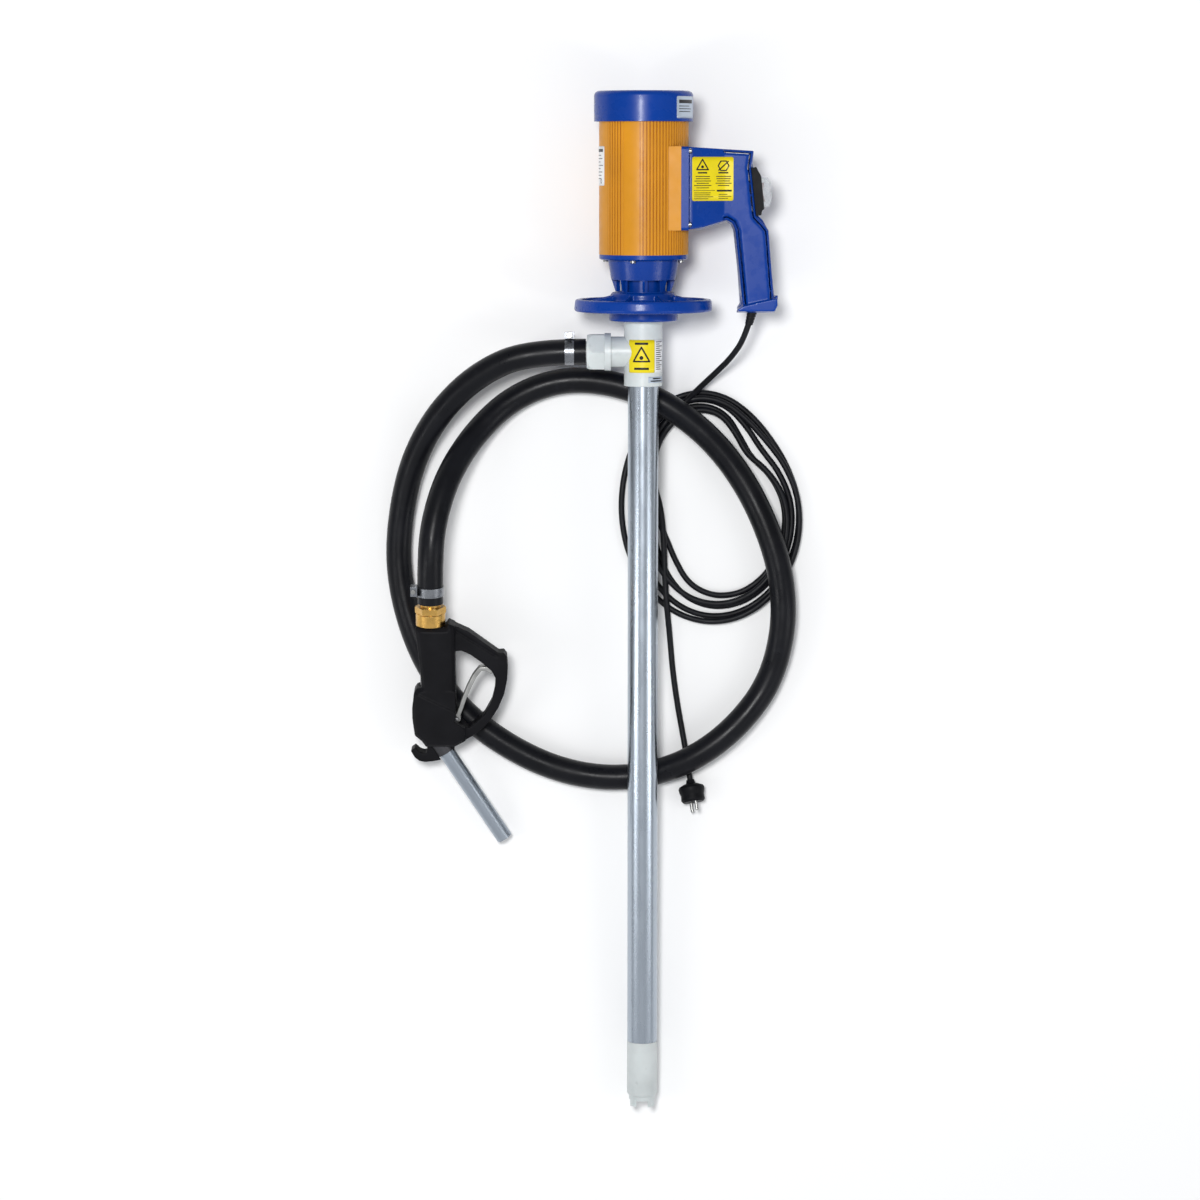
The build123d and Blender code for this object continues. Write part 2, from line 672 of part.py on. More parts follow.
def thrust_ring():
    """Slip ring between the wheel's lip and the pump head's flange."""
    low = WHEEL_SKIRT_BOTTOM + WHEEL_LIP + RUN_GAP
    high = low + HEAD_FLANGE_BOTTOM - 2 * RUN_GAP - WHEEL_SKIRT_BOTTOM - WHEEL_LIP
    return ring(SPIGOT_D - 1, HEAD_D + 1.4, low, high)


# ---------------------------------------------------------------- motor


def end_bell():
    """Lower motor bracket: ring, cone, windowed neck, spigot and a bearing hub on arms."""
    outer = turned(
        [
            (0, HEAD_TOP),
            (SPIGOT_D / 2 - 1, HEAD_TOP),
            (SPIGOT_D / 2, HEAD_TOP + 1),
            (SPIGOT_D / 2, WHEEL_HUB_TOP - 1),
            (NECK_D / 2, WHEEL_HUB_TOP),
            (NECK_D / 2, CONE_BOTTOM),
            (CONE_LOW_D / 2, CONE_BOTTOM),
            (CONE_HIGH_D / 2, CONE_TOP),
            (BELL_RING_D / 2 - 3, CONE_TOP),
            (BELL_RING_D / 2, CONE_TOP + 1.5),
            (BELL_RING_D / 2, BELL_RING_TOP),
            (0, BELL_RING_TOP),
        ]
    )
    inside = turned(
        [
            (0, HEAD_TOP + 5),
            (NECK_D / 2 - NECK_WALL, HEAD_TOP + 5),
            (NECK_D / 2 - NECK_WALL, CONE_BOTTOM + 2),
            (CONE_HIGH_D / 2 - BELL_WALL, CONE_TOP),
            (BARREL_D / 2 - BARREL_WALL - BOSS_D - 1, CONE_TOP),
            (BARREL_D / 2 - BARREL_WALL - BOSS_D - 1, BELL_RING_TOP + 1),
            (0, BELL_RING_TOP + 1),
        ]
    )
    body = outer - inside
    body -= disc(CLAW_D + 6, HEAD_TOP - 1, HEAD_TOP + 6)
    window_angle = 360 / BELL_WINDOWS
    width = 2 * NECK_D / 2 * math.sin(math.radians(window_angle * 0.62) / 2)
    window = block(10, NECK_D, -width / 2, width / 2, BELL_WINDOW_LOW, CONE_BOTTOM - 0.5)
    for cut in around(window, BELL_WINDOWS, first=90 - window_angle / 2):
        body -= cut
    fin = plate(
        [
            (NECK_D / 2 - 1, CONE_BOTTOM + 1),
            (CONE_LOW_D / 2 - 1, CONE_BOTTOM + 1),
            (CONE_LOW_D / 2 - 1, CONE_BOTTOM - 1),
            (NECK_D / 2 + 1, WHEEL_HUB_TOP + 1),
            (NECK_D / 2 - 1, WHEEL_HUB_TOP + 1),
        ],
        -1.5,
        1.5,
    )
    for item in around(fin, BELL_WINDOWS, first=90):
        body += item
    low = LOWER_BEARING_BOTTOM - 4
    high = LOWER_BEARING_BOTTOM + BEARING_HEIGHT
    body += ring(BELL_HUB_D, MOTOR_SHAFT_D + 2, low, high)
    body += ring(COUPLING_GUARD_D, COUPLING_GUARD_BORE_D, WHEEL_HUB_TOP - 4, low + 1)
    arm = block(BELL_HUB_D / 2 - 1, CONE_LOW_D / 2 - 1, -2.5, 2.5, low, high - 3)
    for item in around(arm, BELL_ARMS, first=45):
        body += item
    body -= disc(LOWER_BEARING_D + 2 * SEAT_GAP, LOWER_BEARING_BOTTOM - SEAT_GAP, high + 1)
    hole = Pos(BELL_SCREW_CIRCLE_D / 2, 0, 0) * disc(BELL_SCREW_D + 0.6, CONE_TOP - 1, BELL_RING_TOP + 1)
    for cut in around(hole, 4, first=FIRST_BELL_SCREW_ANGLE):
        body -= cut
    return body


def end_bell_screws():
    """Four screws up through the ring into the barrel's bosses."""
    screw = disc(BELL_SCREW_D - 0.2, CONE_TOP - 0.5, BELL_RING_TOP + 14)
    screw += disc(BELL_SCREW_HEAD_D, CONE_TOP - 3.2, CONE_TOP - SEAT_GAP)
    screw -= Pos(0, 0, CONE_TOP - 3.2) * Box(5, 0.9, 1.6)
    return around(Pos(BELL_SCREW_CIRCLE_D / 2, 0, 0) * screw, 4, first=FIRST_BELL_SCREW_ANGLE)


def ribbed_outline():
    """Outline of the barrel: ribs over three parts of it and two smooth bands."""
    base = BARREL_D / 2
    points = []
    count = round(360 / RIB_PITCH_ANGLE)
    for index in range(count):
        start = index * 360 / count
        top_end = start + 360 / count * RIB_SHARE
        beside_band = (start - 270 + 540) % 360 - 180
        smooth = -28 < beside_band < -6 or -112 < beside_band < -54
        for angle, lifted in ((start, True), (top_end, True), (top_end, False), (start + 360 / count, False)):
            radius = base + (RIB_HEIGHT if lifted and not smooth else 0.0)
            turn = math.radians(angle)
            point = (radius * math.cos(turn), radius * math.sin(turn))
            if not points or math.dist(point, points[-1]) > 0.01:
                points.append(point)
    return points[:-1] if math.dist(points[0], points[-1]) < 0.01 else points


def motor_barrel():
    """Ribbed barrel with a terminal pad on the handle side and screw bosses inside."""
    body = extrude(make_face(Polyline(*ribbed_outline(), close=True)), BARREL_TOP - BELL_RING_TOP)
    body = Pos(0, 0, BELL_RING_TOP) * body
    body += block(0, PAD_FACE, -PAD_HALF_WIDTH, PAD_HALF_WIDTH, PAD_BOTTOM, PAD_TOP)
    body -= block(PAD_FACE, BARREL_D, -BARREL_D, BARREL_D, PAD_BOTTOM, PAD_TOP)
    body -= disc(BARREL_D - 2 * BARREL_WALL, BELL_RING_TOP - 1, BARREL_TOP + 1)
    for y, z in handle_screw_places():
        body -= Pos(PAD_FACE, y, z) * Rot(Y=90) * Cylinder(HANDLE_SCREW_D / 2 + SEAT_GAP, 30)
    boss = Pos(BELL_SCREW_CIRCLE_D / 2, 0, 0) * disc(BOSS_D, BELL_RING_TOP, BELL_RING_TOP + BOSS_HEIGHT)
    for item in around(boss, 4, first=FIRST_BELL_SCREW_ANGLE):
        body += item
    hole = Pos(BELL_SCREW_CIRCLE_D / 2, 0, 0) * disc(BELL_SCREW_D, BELL_RING_TOP - 1, BELL_RING_TOP + 15)
    for cut in around(hole, 4, first=FIRST_BELL_SCREW_ANGLE):
        body -= cut
    return body


def fan_cap():
    """Rounded cap over the barrel's top with a ring of air slots."""
    cap = disc(CAP_D, CAP_BOTTOM, CAP_TOP)
    top_edge = cap.edges().filter_by(GeomType.CIRCLE).sort_by(Axis.Z)[-1]
    cap = fillet(top_edge, CAP_ROUND)
    inside = disc(CAP_D - 2 * CAP_WALL, CAP_BOTTOM - 1, CAP_TOP - CAP_WALL)
    cap -= fillet(inside.edges().filter_by(GeomType.CIRCLE).sort_by(Axis.Z)[-1], CAP_ROUND - CAP_WALL)
    slot = block(16, 38, -2, 2, CAP_TOP - CAP_WALL - 1, CAP_TOP + 1)
    for cut in around(slot, CAP_SLOTS):
        cap -= cut
    post_x = CAP_SCREW_CIRCLE_D / 2
    low = BRACKET_BOTTOM + BRACKET_THICKNESS + SEAT_GAP
    post = Pos(post_x, 0, 0) * disc(CAP_POST_D, low, CAP_TOP - CAP_WALL + 1)
    for item in around(post, CAP_SCREWS, first=45):
        cap += item
    hole = disc(CAP_SCREW_D + 2 * FREE_GAP, low - 1, CAP_TOP + 1)
    hole += disc(CAP_SCREW_HEAD_D + 2 * FREE_GAP, cap_screw_seat() - SEAT_GAP, CAP_TOP + 1)
    for cut in around(Pos(post_x, 0, 0) * hole, CAP_SCREWS, first=45):
        cap -= cut
    return cap


def cap_screw_seat():
    """Height of the underside of the cap screws' heads, sunk below the cap's top."""
    return CAP_TOP - CAP_SCREW_SUNK - CAP_SCREW_HEAD_HEIGHT


def fan_cap_screws():
    """Four pan head screws through the cap into the upper bracket."""
    seat = cap_screw_seat()
    top = seat + CAP_SCREW_HEAD_HEIGHT
    screw = disc(CAP_SCREW_D - 2 * SEAT_GAP, BRACKET_BOTTOM + 2, seat + 1)
    screw += disc(CAP_SCREW_HEAD_D, seat, top)
    screw -= Pos(0, 0, top) * Box(5, 1, 1.6)
    return around(Pos(CAP_SCREW_CIRCLE_D / 2, 0, 0) * screw, CAP_SCREWS, first=45)


def upper_bearing_bracket():
    """Plate across the barrel's top with the upper bearing seat."""
    top = BRACKET_BOTTOM + BRACKET_THICKNESS
    outer = BARREL_D - 2 * BARREL_WALL - 2 * SEAT_GAP
    body = disc(outer, BRACKET_BOTTOM, top)
    body += disc(UPPER_BEARING_D + 8, BRACKET_BOTTOM, top + 8)
    seat = UPPER_BEARING_D + 2 * SEAT_GAP
    body -= disc(seat, top + 6 - BEARING_HEIGHT, top + 9)
    body -= disc(MOTOR_SHAFT_D + 2, BRACKET_BOTTOM - 1, top)
    vent = Pos(33, 0, 0) * disc(14, BRACKET_BOTTOM - 1, top + 1)
    for cut in around(vent, 4, first=0):
        body -= cut
    hole = Pos(CAP_SCREW_CIRCLE_D / 2, 0, 0) * disc(CAP_SCREW_D, BRACKET_BOTTOM - 1, top + 1)
    for cut in around(hole, CAP_SCREWS, first=45):
        body -= cut
    return body


def motor_bearings():
    """The two ball bearings, as plain rings."""
    upper_low = BRACKET_BOTTOM + BRACKET_THICKNESS + 6 - BEARING_HEIGHT + SEAT_GAP
    bore = MOTOR_SHAFT_D + 2 * RUN_GAP
    upper = ring(UPPER_BEARING_D, bore, upper_low, upper_low + BEARING_HEIGHT)
    lower_top = LOWER_BEARING_BOTTOM + BEARING_HEIGHT
    lower = ring(LOWER_BEARING_D, bore, LOWER_BEARING_BOTTOM, lower_top)
    return [upper, lower]


def stator_core():
    """Laminated ring with two pole blocks reaching to the armature."""
    body = ring(STATOR_D, STATOR_BORE_D, STATOR_BOTTOM, STATOR_TOP)
    for side in (-1, 1):
        x_inner = side * 20
        x_outer = side * (STATOR_BORE_D / 2 + 2)
        pole = block(
            min(x_inner, x_outer), max(x_inner, x_outer), -POLE_WIDTH / 2, POLE_WIDTH / 2,
            STATOR_BOTTOM, STATOR_TOP,
        )
        body += pole
    return body - disc(ARMATURE_D + 1.2, STATOR_BOTTOM - 1, STATOR_TOP + 1)


def field_coils():
    """Two rectangular windings, one round each pole."""
    coils = []
    height = (STATOR_TOP - STATOR_BOTTOM) / 2
    middle = (STATOR_TOP + STATOR_BOTTOM) / 2
    inner_y = POLE_WIDTH / 2 + FREE_GAP
    start = ARMATURE_D / 2 + 3
    for side in (-1, 1):
        x_low = min(side * start, side * (start + COIL_THICKNESS))
        x_high = max(side * start, side * (start + COIL_THICKNESS))
        wide = inner_y + COIL_WIDTH
        outer = block(x_low, x_high, -wide, wide, middle - height - 8, middle + height + 8)
        gap = block(
            x_low - 1, x_high + 1, -inner_y, inner_y, middle - height - FREE_GAP, middle + height + FREE_GAP
        )
        coils.append(outer - gap)
    return coils


def armature_core():
    """Slotted armature stack on the motor shaft."""
    body = ring(ARMATURE_D, MOTOR_SHAFT_D + 2 * SEAT_GAP, STATOR_BOTTOM, STATOR_TOP)
    slot = block(ARMATURE_D / 2 - 8, ARMATURE_D, -1.5, 1.5, STATOR_BOTTOM - 1, STATOR_TOP + 1)
    for cut in around(slot, ARMATURE_SLOTS):
        body -= cut
    return body


def armature_windings():
    """End turns of the armature at both ends of the stack."""
    bore = MOTOR_SHAFT_D + 2
    above = ring(WINDING_D, bore, STATOR_TOP + SEAT_GAP, STATOR_TOP + WINDING_LENGTH)
    below = ring(WINDING_D, bore, STATOR_BOTTOM - WINDING_LENGTH, STATOR_BOTTOM - SEAT_GAP)
    above = chamfer(above.edges().filter_by(GeomType.CIRCLE).sort_by(Axis.Z)[-2:], 2)
    below = chamfer(below.edges().filter_by(GeomType.CIRCLE).sort_by(Axis.Z)[:2], 2)
    return [above, below]


def commutator():
    """Copper bars round the shaft, parted by fine grooves."""
    top = COMMUTATOR_BOTTOM + COMMUTATOR_LENGTH
    body = ring(COMMUTATOR_D, MOTOR_SHAFT_D + 2 * SEAT_GAP, COMMUTATOR_BOTTOM, top)
    groove = block(COMMUTATOR_D / 2 - 1, COMMUTATOR_D, -0.3, 0.3, COMMUTATOR_BOTTOM - 1, top + 1)
    for cut in around(groove, COMMUTATOR_BARS):
        body -= cut
    return body


def brush(width, height, start, end):
    """Bar across the commutator's height, along X from and to a radius."""
    middle = COMMUTATOR_BOTTOM + COMMUTATOR_LENGTH / 2
    return block(start, end, -width / 2, width / 2, middle - height / 2, middle + height / 2)


def carbon_brushes():
    """Two brushes that press on the commutator, at right angles to the poles."""
    start = COMMUTATOR_D / 2 + SEAT_GAP
    one = brush(BRUSH_WIDTH, BRUSH_HEIGHT, start, start + BRUSH_LENGTH)
    one -= disc(COMMUTATOR_D + 2 * SEAT_GAP, COMMUTATOR_BOTTOM - 1, COMMUTATOR_BOTTOM + COMMUTATOR_LENGTH + 1)
    return around(one, 2, first=90)


def brush_holders():
    """Two sleeves round the brushes, hung from the upper bracket."""
    start = COMMUTATOR_D / 2 + 4
    end = start + BRUSH_LENGTH + 8
    wide = BRUSH_WIDTH + 2 * HOLDER_WALL + 2 * SEAT_GAP
    tall = BRUSH_HEIGHT + 2 * HOLDER_WALL + 2 * SEAT_GAP
    sleeve = brush(wide, tall, start, end)
    middle = COMMUTATOR_BOTTOM + COMMUTATOR_LENGTH / 2
    sleeve += block(start + 4, end - 4, -wide / 2, wide / 2, middle, BRACKET_BOTTOM - SEAT_GAP)
    sleeve -= brush(BRUSH_WIDTH + 2 * SEAT_GAP, BRUSH_HEIGHT + 2 * SEAT_GAP, start - 1, end - 2)
    return around(sleeve, 2, first=90)


def motor_shaft():
    """Motor shaft with a slotted claw that takes the drive shaft's tongue."""
    body = disc(MOTOR_SHAFT_D, MOTOR_SHAFT_BOTTOM, MOTOR_SHAFT_TOP)
    claw_top = MOTOR_SHAFT_BOTTOM + CLAW_LENGTH - 2
    body += disc(CLAW_D, MOTOR_SHAFT_BOTTOM - 2, claw_top)
    half = 3.0 + 0.15
    slot_top = SHAFT_TOP + 12 + 0.5
    return body - block(-CLAW_D, CLAW_D, -half, half, MOTOR_SHAFT_BOTTOM - 3, slot_top)


def cooling_fan():
    """Radial fan: a disc with straight blades below it."""
    top = FAN_BOTTOM + FAN_HEIGHT
    body = disc(FAN_D, top - FAN_DISC_THICKNESS, top) + disc(FAN_HUB_D, FAN_BOTTOM + 2, top)
    blade = block(FAN_HUB_D / 2 - 1, FAN_D / 2 - 1, -0.9, 0.9, FAN_BOTTOM + 2, top - 1)
    for item in around(blade, FAN_BLADES):
        body += item
    return body - disc(MOTOR_SHAFT_D + 2 * SEAT_GAP, FAN_BOTTOM, top + 1)


# ---------------------------------------------------------------- handle and switch


def handle_frame():
    """Flange plate between the barrel's pad and the handle."""
    start = PAD_FACE + SEAT_GAP
    end = PAD_FACE + FRAME_THICKNESS
    body = block(start, end, -PAD_HALF_WIDTH, PAD_HALF_WIDTH, PAD_BOTTOM, PAD_TOP)
    body = fillet(body.edges().filter_by(Axis.X), 4)
    half = PAD_WINDOW_WIDTH / 2
    middle = (PAD_BOTTOM + PAD_TOP) / 2
    low = middle - PAD_WINDOW_HEIGHT / 2
    high = middle + PAD_WINDOW_HEIGHT / 2
    body -= block(start - 1, end + 1, -half, half, low, high)
    for y, z in handle_screw_places():
        body -= Pos(end, y, z) * Rot(Y=90) * Cylinder(HANDLE_SCREW_D / 2 + SEAT_GAP, 30)
    return body


def grip_outline():
    """Side view of the handle, from the flange round the housing and down the grip."""
    start = PAD_FACE + FRAME_THICKNESS + SEAT_GAP
    between = from_pad(HANDLE_TOP_SLOPE + HANDLE_BACK + HANDLE_FRONT)
    return [(start, PAD_TOP - 0.5)] + between + [(start, PAD_BOTTOM + 1)]


def from_pad(points):
    """Points of the handle's side view, with their heights counted from the pad's lower edge."""
    return [(x, PAD_BOTTOM + z) for x, z in points]


def moved_in(points, distance):
    """A clockwise outline with every side moved inwards by one distance."""
    sides = []
    for (x0, z0), (x1, z1) in zip(points, points[1:] + points[:1]):
        length = math.dist((x0, z0), (x1, z1))
        along = ((x1 - x0) / length, (z1 - z0) / length)
        sides.append(((x0 + along[1] * distance, z0 - along[0] * distance), along))
    corners = []
    for (p, a), (q, b) in zip(sides[-1:] + sides[:-1], sides):
        share = ((q[0] - p[0]) * b[1] - (q[1] - p[1]) * b[0]) / (a[0] * b[1] - a[1] * b[0])
        corners.append((p[0] + a[0] * share, p[1] + a[1] * share))
    return corners


def grip_face(inset):
    """Side view of the handle, or of its inside when inset by the wall."""
    return Plane.XZ * make_face(Polyline(*moved_in(grip_outline(), inset), close=True))


def grip_solid(inset):
    """The handle's outer form, or its inside when inset by the wall."""
    body = extrude(grip_face(inset), amount=HANDLE_HALF_THICKNESS - inset, both=True)
    return body if inset else chamfer_sides(body, HANDLE_HALF_THICKNESS, HANDLE_ROUND)


def chamfer_sides(body, half, size):
    """Bevel the two outlines of a plate that is centred on the XZ plane."""
    edges = [edge for edge in body.edges() if abs(abs(edge.center().Y) - half) < 0.01]
    return chamfer(edges, size)


def neck_wedge(inset):
    """Widening of the housing towards the flange."""
    start = PAD_FACE + FRAME_THICKNESS + SEAT_GAP
    wide = NECK_HALF_WIDTH - inset
    narrow = HANDLE_HALF_THICKNESS - inset
    outline = [(start, -wide), (start + 6, -wide), (106, -narrow), (106, narrow), (start + 6, wide), (start, wide)]
    wedge = extrude(make_face(Polyline(*outline, close=True)), PAD_TOP - PAD_BOTTOM - 2 * inset)
    wedge = Pos(0, 0, PAD_BOTTOM + inset) * wedge
    return wedge


def handle_half(side):
    """One half shell of the handle; side is -1 for the upper one and 1 for the lower one."""
    tall = extrude(grip_face(0), amount=NECK_HALF_WIDTH + 1, both=True)
    body = grip_solid(0) + (neck_wedge(0) & tall)
    inside = grip_solid(HANDLE_WALL)
    deep = extrude(grip_face(HANDLE_WALL), amount=NECK_HALF_WIDTH, both=True)
    inside += neck_wedge(HANDLE_WALL) & deep
    body -= inside
    mouth = PAD_FACE + FRAME_THICKNESS
    half_window = PAD_WINDOW_WIDTH / 2
    middle = (PAD_BOTTOM + PAD_TOP) / 2
    body -= block(
        mouth - 1, mouth + 8, -half_window, half_window,
        middle - PAD_WINDOW_HEIGHT / 2, middle + PAD_WINDOW_HEIGHT / 2,
    )
    body += plate(from_pad(GRIP_FOOT), -GRIP_FOOT_HALF_WIDTH, GRIP_FOOT_HALF_WIDTH)
    exit_x, exit_z = from_pad([CABLE_EXIT])[0]
    body -= Pos(exit_x, 0, exit_z) * Cylinder(CABLE_D / 2 + 1.2, 30)
    body -= switch_place() * Pos(-4, 0, SWITCH_LENGTH / 2) * Box(20, SWITCH_WIDTH - 8, SWITCH_LENGTH - 10)
    keep = block(0, 2 * exit_x, 0, 2 * NECK_HALF_WIDTH, 0, CAP_TOP)
    if side < 0:
        keep = Pos(0, -2 * NECK_HALF_WIDTH - SEAT_GAP, 0) * keep
    body &= keep
    return body.solids().sort_by(SortBy.VOLUME)[-1]


def handle_screw(x, y, z):
    """Screw along X through the frame's corner, with its head on the handle side."""
    head_x = PAD_FACE + FRAME_THICKNESS + SEAT_GAP
    shank = Pos(x - 6, y, z) * Rot(Y=90) * Cylinder(HANDLE_SCREW_D / 2, 20)
    head = Pos(head_x + 1.5, y, z) * Rot(Y=90) * Cylinder(HANDLE_SCREW_HEAD_D / 2, 3)
    return shank + head - Pos(head_x + 3, y, z) * Box(1.6, 1, 5)


def handle_screws():
    """The four screws of the handle's frame."""
    return [handle_screw(PAD_FACE + FRAME_THICKNESS, y, z) for y, z in handle_screw_places()]


def handle_screw_places():
    """The four corners where the handle frame is screwed to the pad."""
    reach = PAD_HALF_WIDTH - 4
    return [(y, z) for y in (-reach, reach) for z in (PAD_BOTTOM + 8, PAD_TOP - 6)]


def switch_place():
    """Place of the switch: its own Z runs up the slanted back of the handle."""
    return Pos(*SWITCH_LOW) * Rot(Y=-SWITCH_LEAN)


def rocker_pivot(diameter, reach):
    """Round pin across the rocker, in the switch's frame, standing out on both sides."""
    length = ROCKER_WIDTH + 2 * (ROCKER_SIDE_GAP + reach)
    pin = Rot(X=90) * Cylinder(diameter / 2, length)
    return Pos(SWITCH_DEPTH - ROCKER_PIVOT_DEPTH, 0, ROCKER_MIDDLE) * pin


def switch_frame():
    """Black base of the switch, a stepped block with an open well for the rocker."""
    outline = [(0.2, 0), (7, 0), (9, 6), (SWITCH_DEPTH, 8), (SWITCH_DEPTH, 52), (8.5, 60), (7, SWITCH_LENGTH)]
    body = plate(outline + [(0.2, SWITCH_LENGTH)], -SWITCH_WIDTH / 2, SWITCH_WIDTH / 2)
    room = 2 * ROCKER_SIDE_GAP
    well_size = (SWITCH_DEPTH, ROCKER_WIDTH + room, ROCKER_LENGTH + room)
    body -= Pos(SWITCH_DEPTH / 2 + 3, 0, ROCKER_MIDDLE) * Box(*well_size)
    body -= rocker_pivot(ROCKER_PIVOT_D + 2 * RUN_GAP, ROCKER_PIVOT_LENGTH + FREE_GAP)
    core = Pos(-5.5, 0, ROCKER_MIDDLE) * Box(12.5, SWITCH_WIDTH - 10, ROCKER_LENGTH + 8)
    return switch_place() * (body + core)


def switch_rocker():
    """Curved rocker that tips about its middle."""
    middle = ROCKER_MIDDLE
    outline = [
        (SWITCH_DEPTH - 4.5, middle - ROCKER_LENGTH / 2),
        (SWITCH_DEPTH + 2.4, middle - ROCKER_LENGTH / 2 + 0.4),
        (SWITCH_DEPTH + 0.6, middle),
        (SWITCH_DEPTH + 3.4, middle + ROCKER_LENGTH / 2 - 0.4),
        (SWITCH_DEPTH - 3.5, middle + ROCKER_LENGTH / 2),
        (SWITCH_DEPTH - 6, middle),
    ]
    body = plate(outline, -ROCKER_WIDTH / 2, ROCKER_WIDTH / 2)
    return switch_place() * (body + rocker_pivot(ROCKER_PIVOT_D, ROCKER_PIVOT_LENGTH))


def switch_cover():
    """Clear dust cover over the rocker, a thin domed box with a flange."""
    low = ROCKER_MIDDLE - COVER_LENGTH / 2
    high = ROCKER_MIDDLE + COVER_LENGTH / 2
    base = SWITCH_DEPTH + SEAT_GAP
    rise = COVER_HEIGHT
    outer_outline = [(base, low), (base + rise * 0.6, low + 2), (base + rise, low + 12),
                     (base + rise, high - 9), (base + rise * 0.7, high - 2), (base, high)]
    wall = COVER_WALL
    inner_outline = [(base - 1, low + wall), (base + rise * 0.6 - 1, low + 2 + wall),
                     (base + rise - wall, low + 12), (base + rise - wall, high - 9),
                     (base + rise * 0.7 - 1, high - 2 - wall), (base - 1, high - wall)]
    body = plate(outer_outline, -COVER_WIDTH / 2, COVER_WIDTH / 2)
    return switch_place() * (body - plate(inner_outline, -COVER_WIDTH / 2 + wall, COVER_WIDTH / 2 - wall))


def cable_exit():
    """Plane at the cable's exit in the pump frame, with its normal along the cable."""
    x, z = from_pad([CABLE_EXIT])[0]
    return Plane(origin=(x, 0, z), x_dir=(0, 1, 0), z_dir=BUSH_LEAN)


def cable_bush():
    """Tapered sleeve round the cable where it leaves the grip."""
    sleeve = Cone(7, 5.3, CABLE_BUSH_LENGTH)
    sleeve = Pos(0, 0, CABLE_BUSH_LENGTH / 2 - 3) * sleeve
    for index in range(4):
        groove_place = 4 + index * 4
        sleeve -= ring(20, 10.6 - index * 0.3, groove_place, groove_place + 1.4)
    sleeve -= disc(CABLE_D + 0.6, -10, CABLE_BUSH_LENGTH + 5)
    x, z = from_pad([CABLE_EXIT])[0]
    below_foot = block(x - 30, x + 30, -20, 20, z - 40, z - 0.2)
    return cable_exit().location * sleeve & below_foot


# ---------------------------------------------------------------- nozzle


def nozzle_outline():
    """Side view of the nozzle's cover in its own frame, (x, z) from the inlet."""
    return [
        (-20.5, 0), (20.5, 0), (24, 6), (52, -7), (91.5, -36.4), (98.6, -36), (102.6, -41), (104, -57),
        (103, -75), (99, -95), (90.5, -115), (81, -130.5), (70, -143), (55.5, -154.5), (42.5, -162),
        (31, -168), (30.5, -178), (11.5, -189), (-0.5, -191), (-9.5, -192), (-18, -190), (-24, -185),
        (-29, -176), (-23, -171.5), (-17.5, -177), (-12.5, -179.3), (-6.8, -179), (-6.6, -169.5),
        (-13.9, -159.7), (-23, -152), (-26, -128), (-26, -113), (-23.4, -92), (-19.9, -86.4),
        (-12.7, -84), (-14.5, -60),
    ]


def window_outline():
    """The finger window between the barrel and the guard."""
    return [
        (33, -34), (42, -33.5), (53.5, -39), (69, -50.5), (82, -62), (87, -72), (86, -88), (82, -104.5),
        (71.5, -124), (58, -137), (50, -143), (46, -142), (33, -133),
    ]


def nozzle_cover():
    """Plastic cover: a thick body, a thinner guard loop and a hanging hook."""
    whole = Plane.XZ * make_face(Polyline(*nozzle_outline(), close=True))
    gap = Plane.XZ * make_face(Polyline(*window_outline(), close=True))
    thin = extrude(whole, amount=GUARD_HALF, both=True)
    thick = extrude(whole, amount=NOZZLE_BODY_HALF, both=True)
    barrel_zone = block(-40, 32.9, -40, 40, -86, 8) + block(-40, 46, -40, 40, -168, -84)
    barrel = chamfer_sides(thick & barrel_zone, NOZZLE_BODY_HALF, 5)
    body = barrel + thin - extrude(gap, amount=60, both=True)
    body -= disc(VALVE_BODY_D + 2 * SEAT_GAP, -VALVE_BODY_LENGTH, 10)
    socket = Cylinder(SPOUT_D / 2 + 3.5 + SEAT_GAP, 60)
    body -= spout_place() * Pos(0, 0, 20) * socket
    body -= lever_zone()
    body -= Pos(*LEVER_PIVOT) * Rot(X=90) * Cylinder(LEVER_PIN_D / 2 + SEAT_GAP, 60)
    body = body.solids().sort_by(SortBy.VOLUME)[-1]
    return body


def spout_place():
    """Place of the spout: its own Z runs from the body out to the tip."""
    return Pos(*SPOUT_START) * Rot(Y=180 - SPOUT_LEAN)


def lever_zone():
    """Slot that the lever moves in, next to its pivot and along the guard's upper arm."""
    half = LEVER_HALF + 1.2
    x, _, z = LEVER_PIVOT
    slot = block(x - 9.5, x + 26, -half, half, z - 9, z + 62)
    sweep_disc = Pos(*LEVER_PIVOT) * Rot(X=90) * Cylinder(LEVER_REACH + 3, 2 * half)
    return slot + (sweep_disc & block(x + 24, x + 62, -half, half, z + 50, z + 110))


def valve_body():
    """Metal valve body inside the cover, from the inlet to the spout's seat."""
    body = disc(VALVE_BODY_D, -VALVE_BODY_LENGTH + SEAT_GAP, 0)
    seat = Cylinder(SPOUT_D / 2 + 3.5, SPOUT_SEAT + 10)
    body += spout_place() * Pos(0, 0, (SPOUT_SEAT - 10) / 2) * seat
    body -= disc(VALVE_BORE_D, -VALVE_BODY_LENGTH + 16, 1)
    socket = Cylinder(SPOUT_SEAT_D / 2 + SEAT_GAP, SPOUT_SEAT + 10)
    body -= spout_place() * Pos(0, 0, SPOUT_SEAT / 2 + 5) * socket
    body -= spout_place() * Pos(0, 0, -14) * Cylinder(SPOUT_BORE_D / 2, 46)
    body -= lever_zone()
    return body.solids().sort_by(SortBy.VOLUME)[-1]


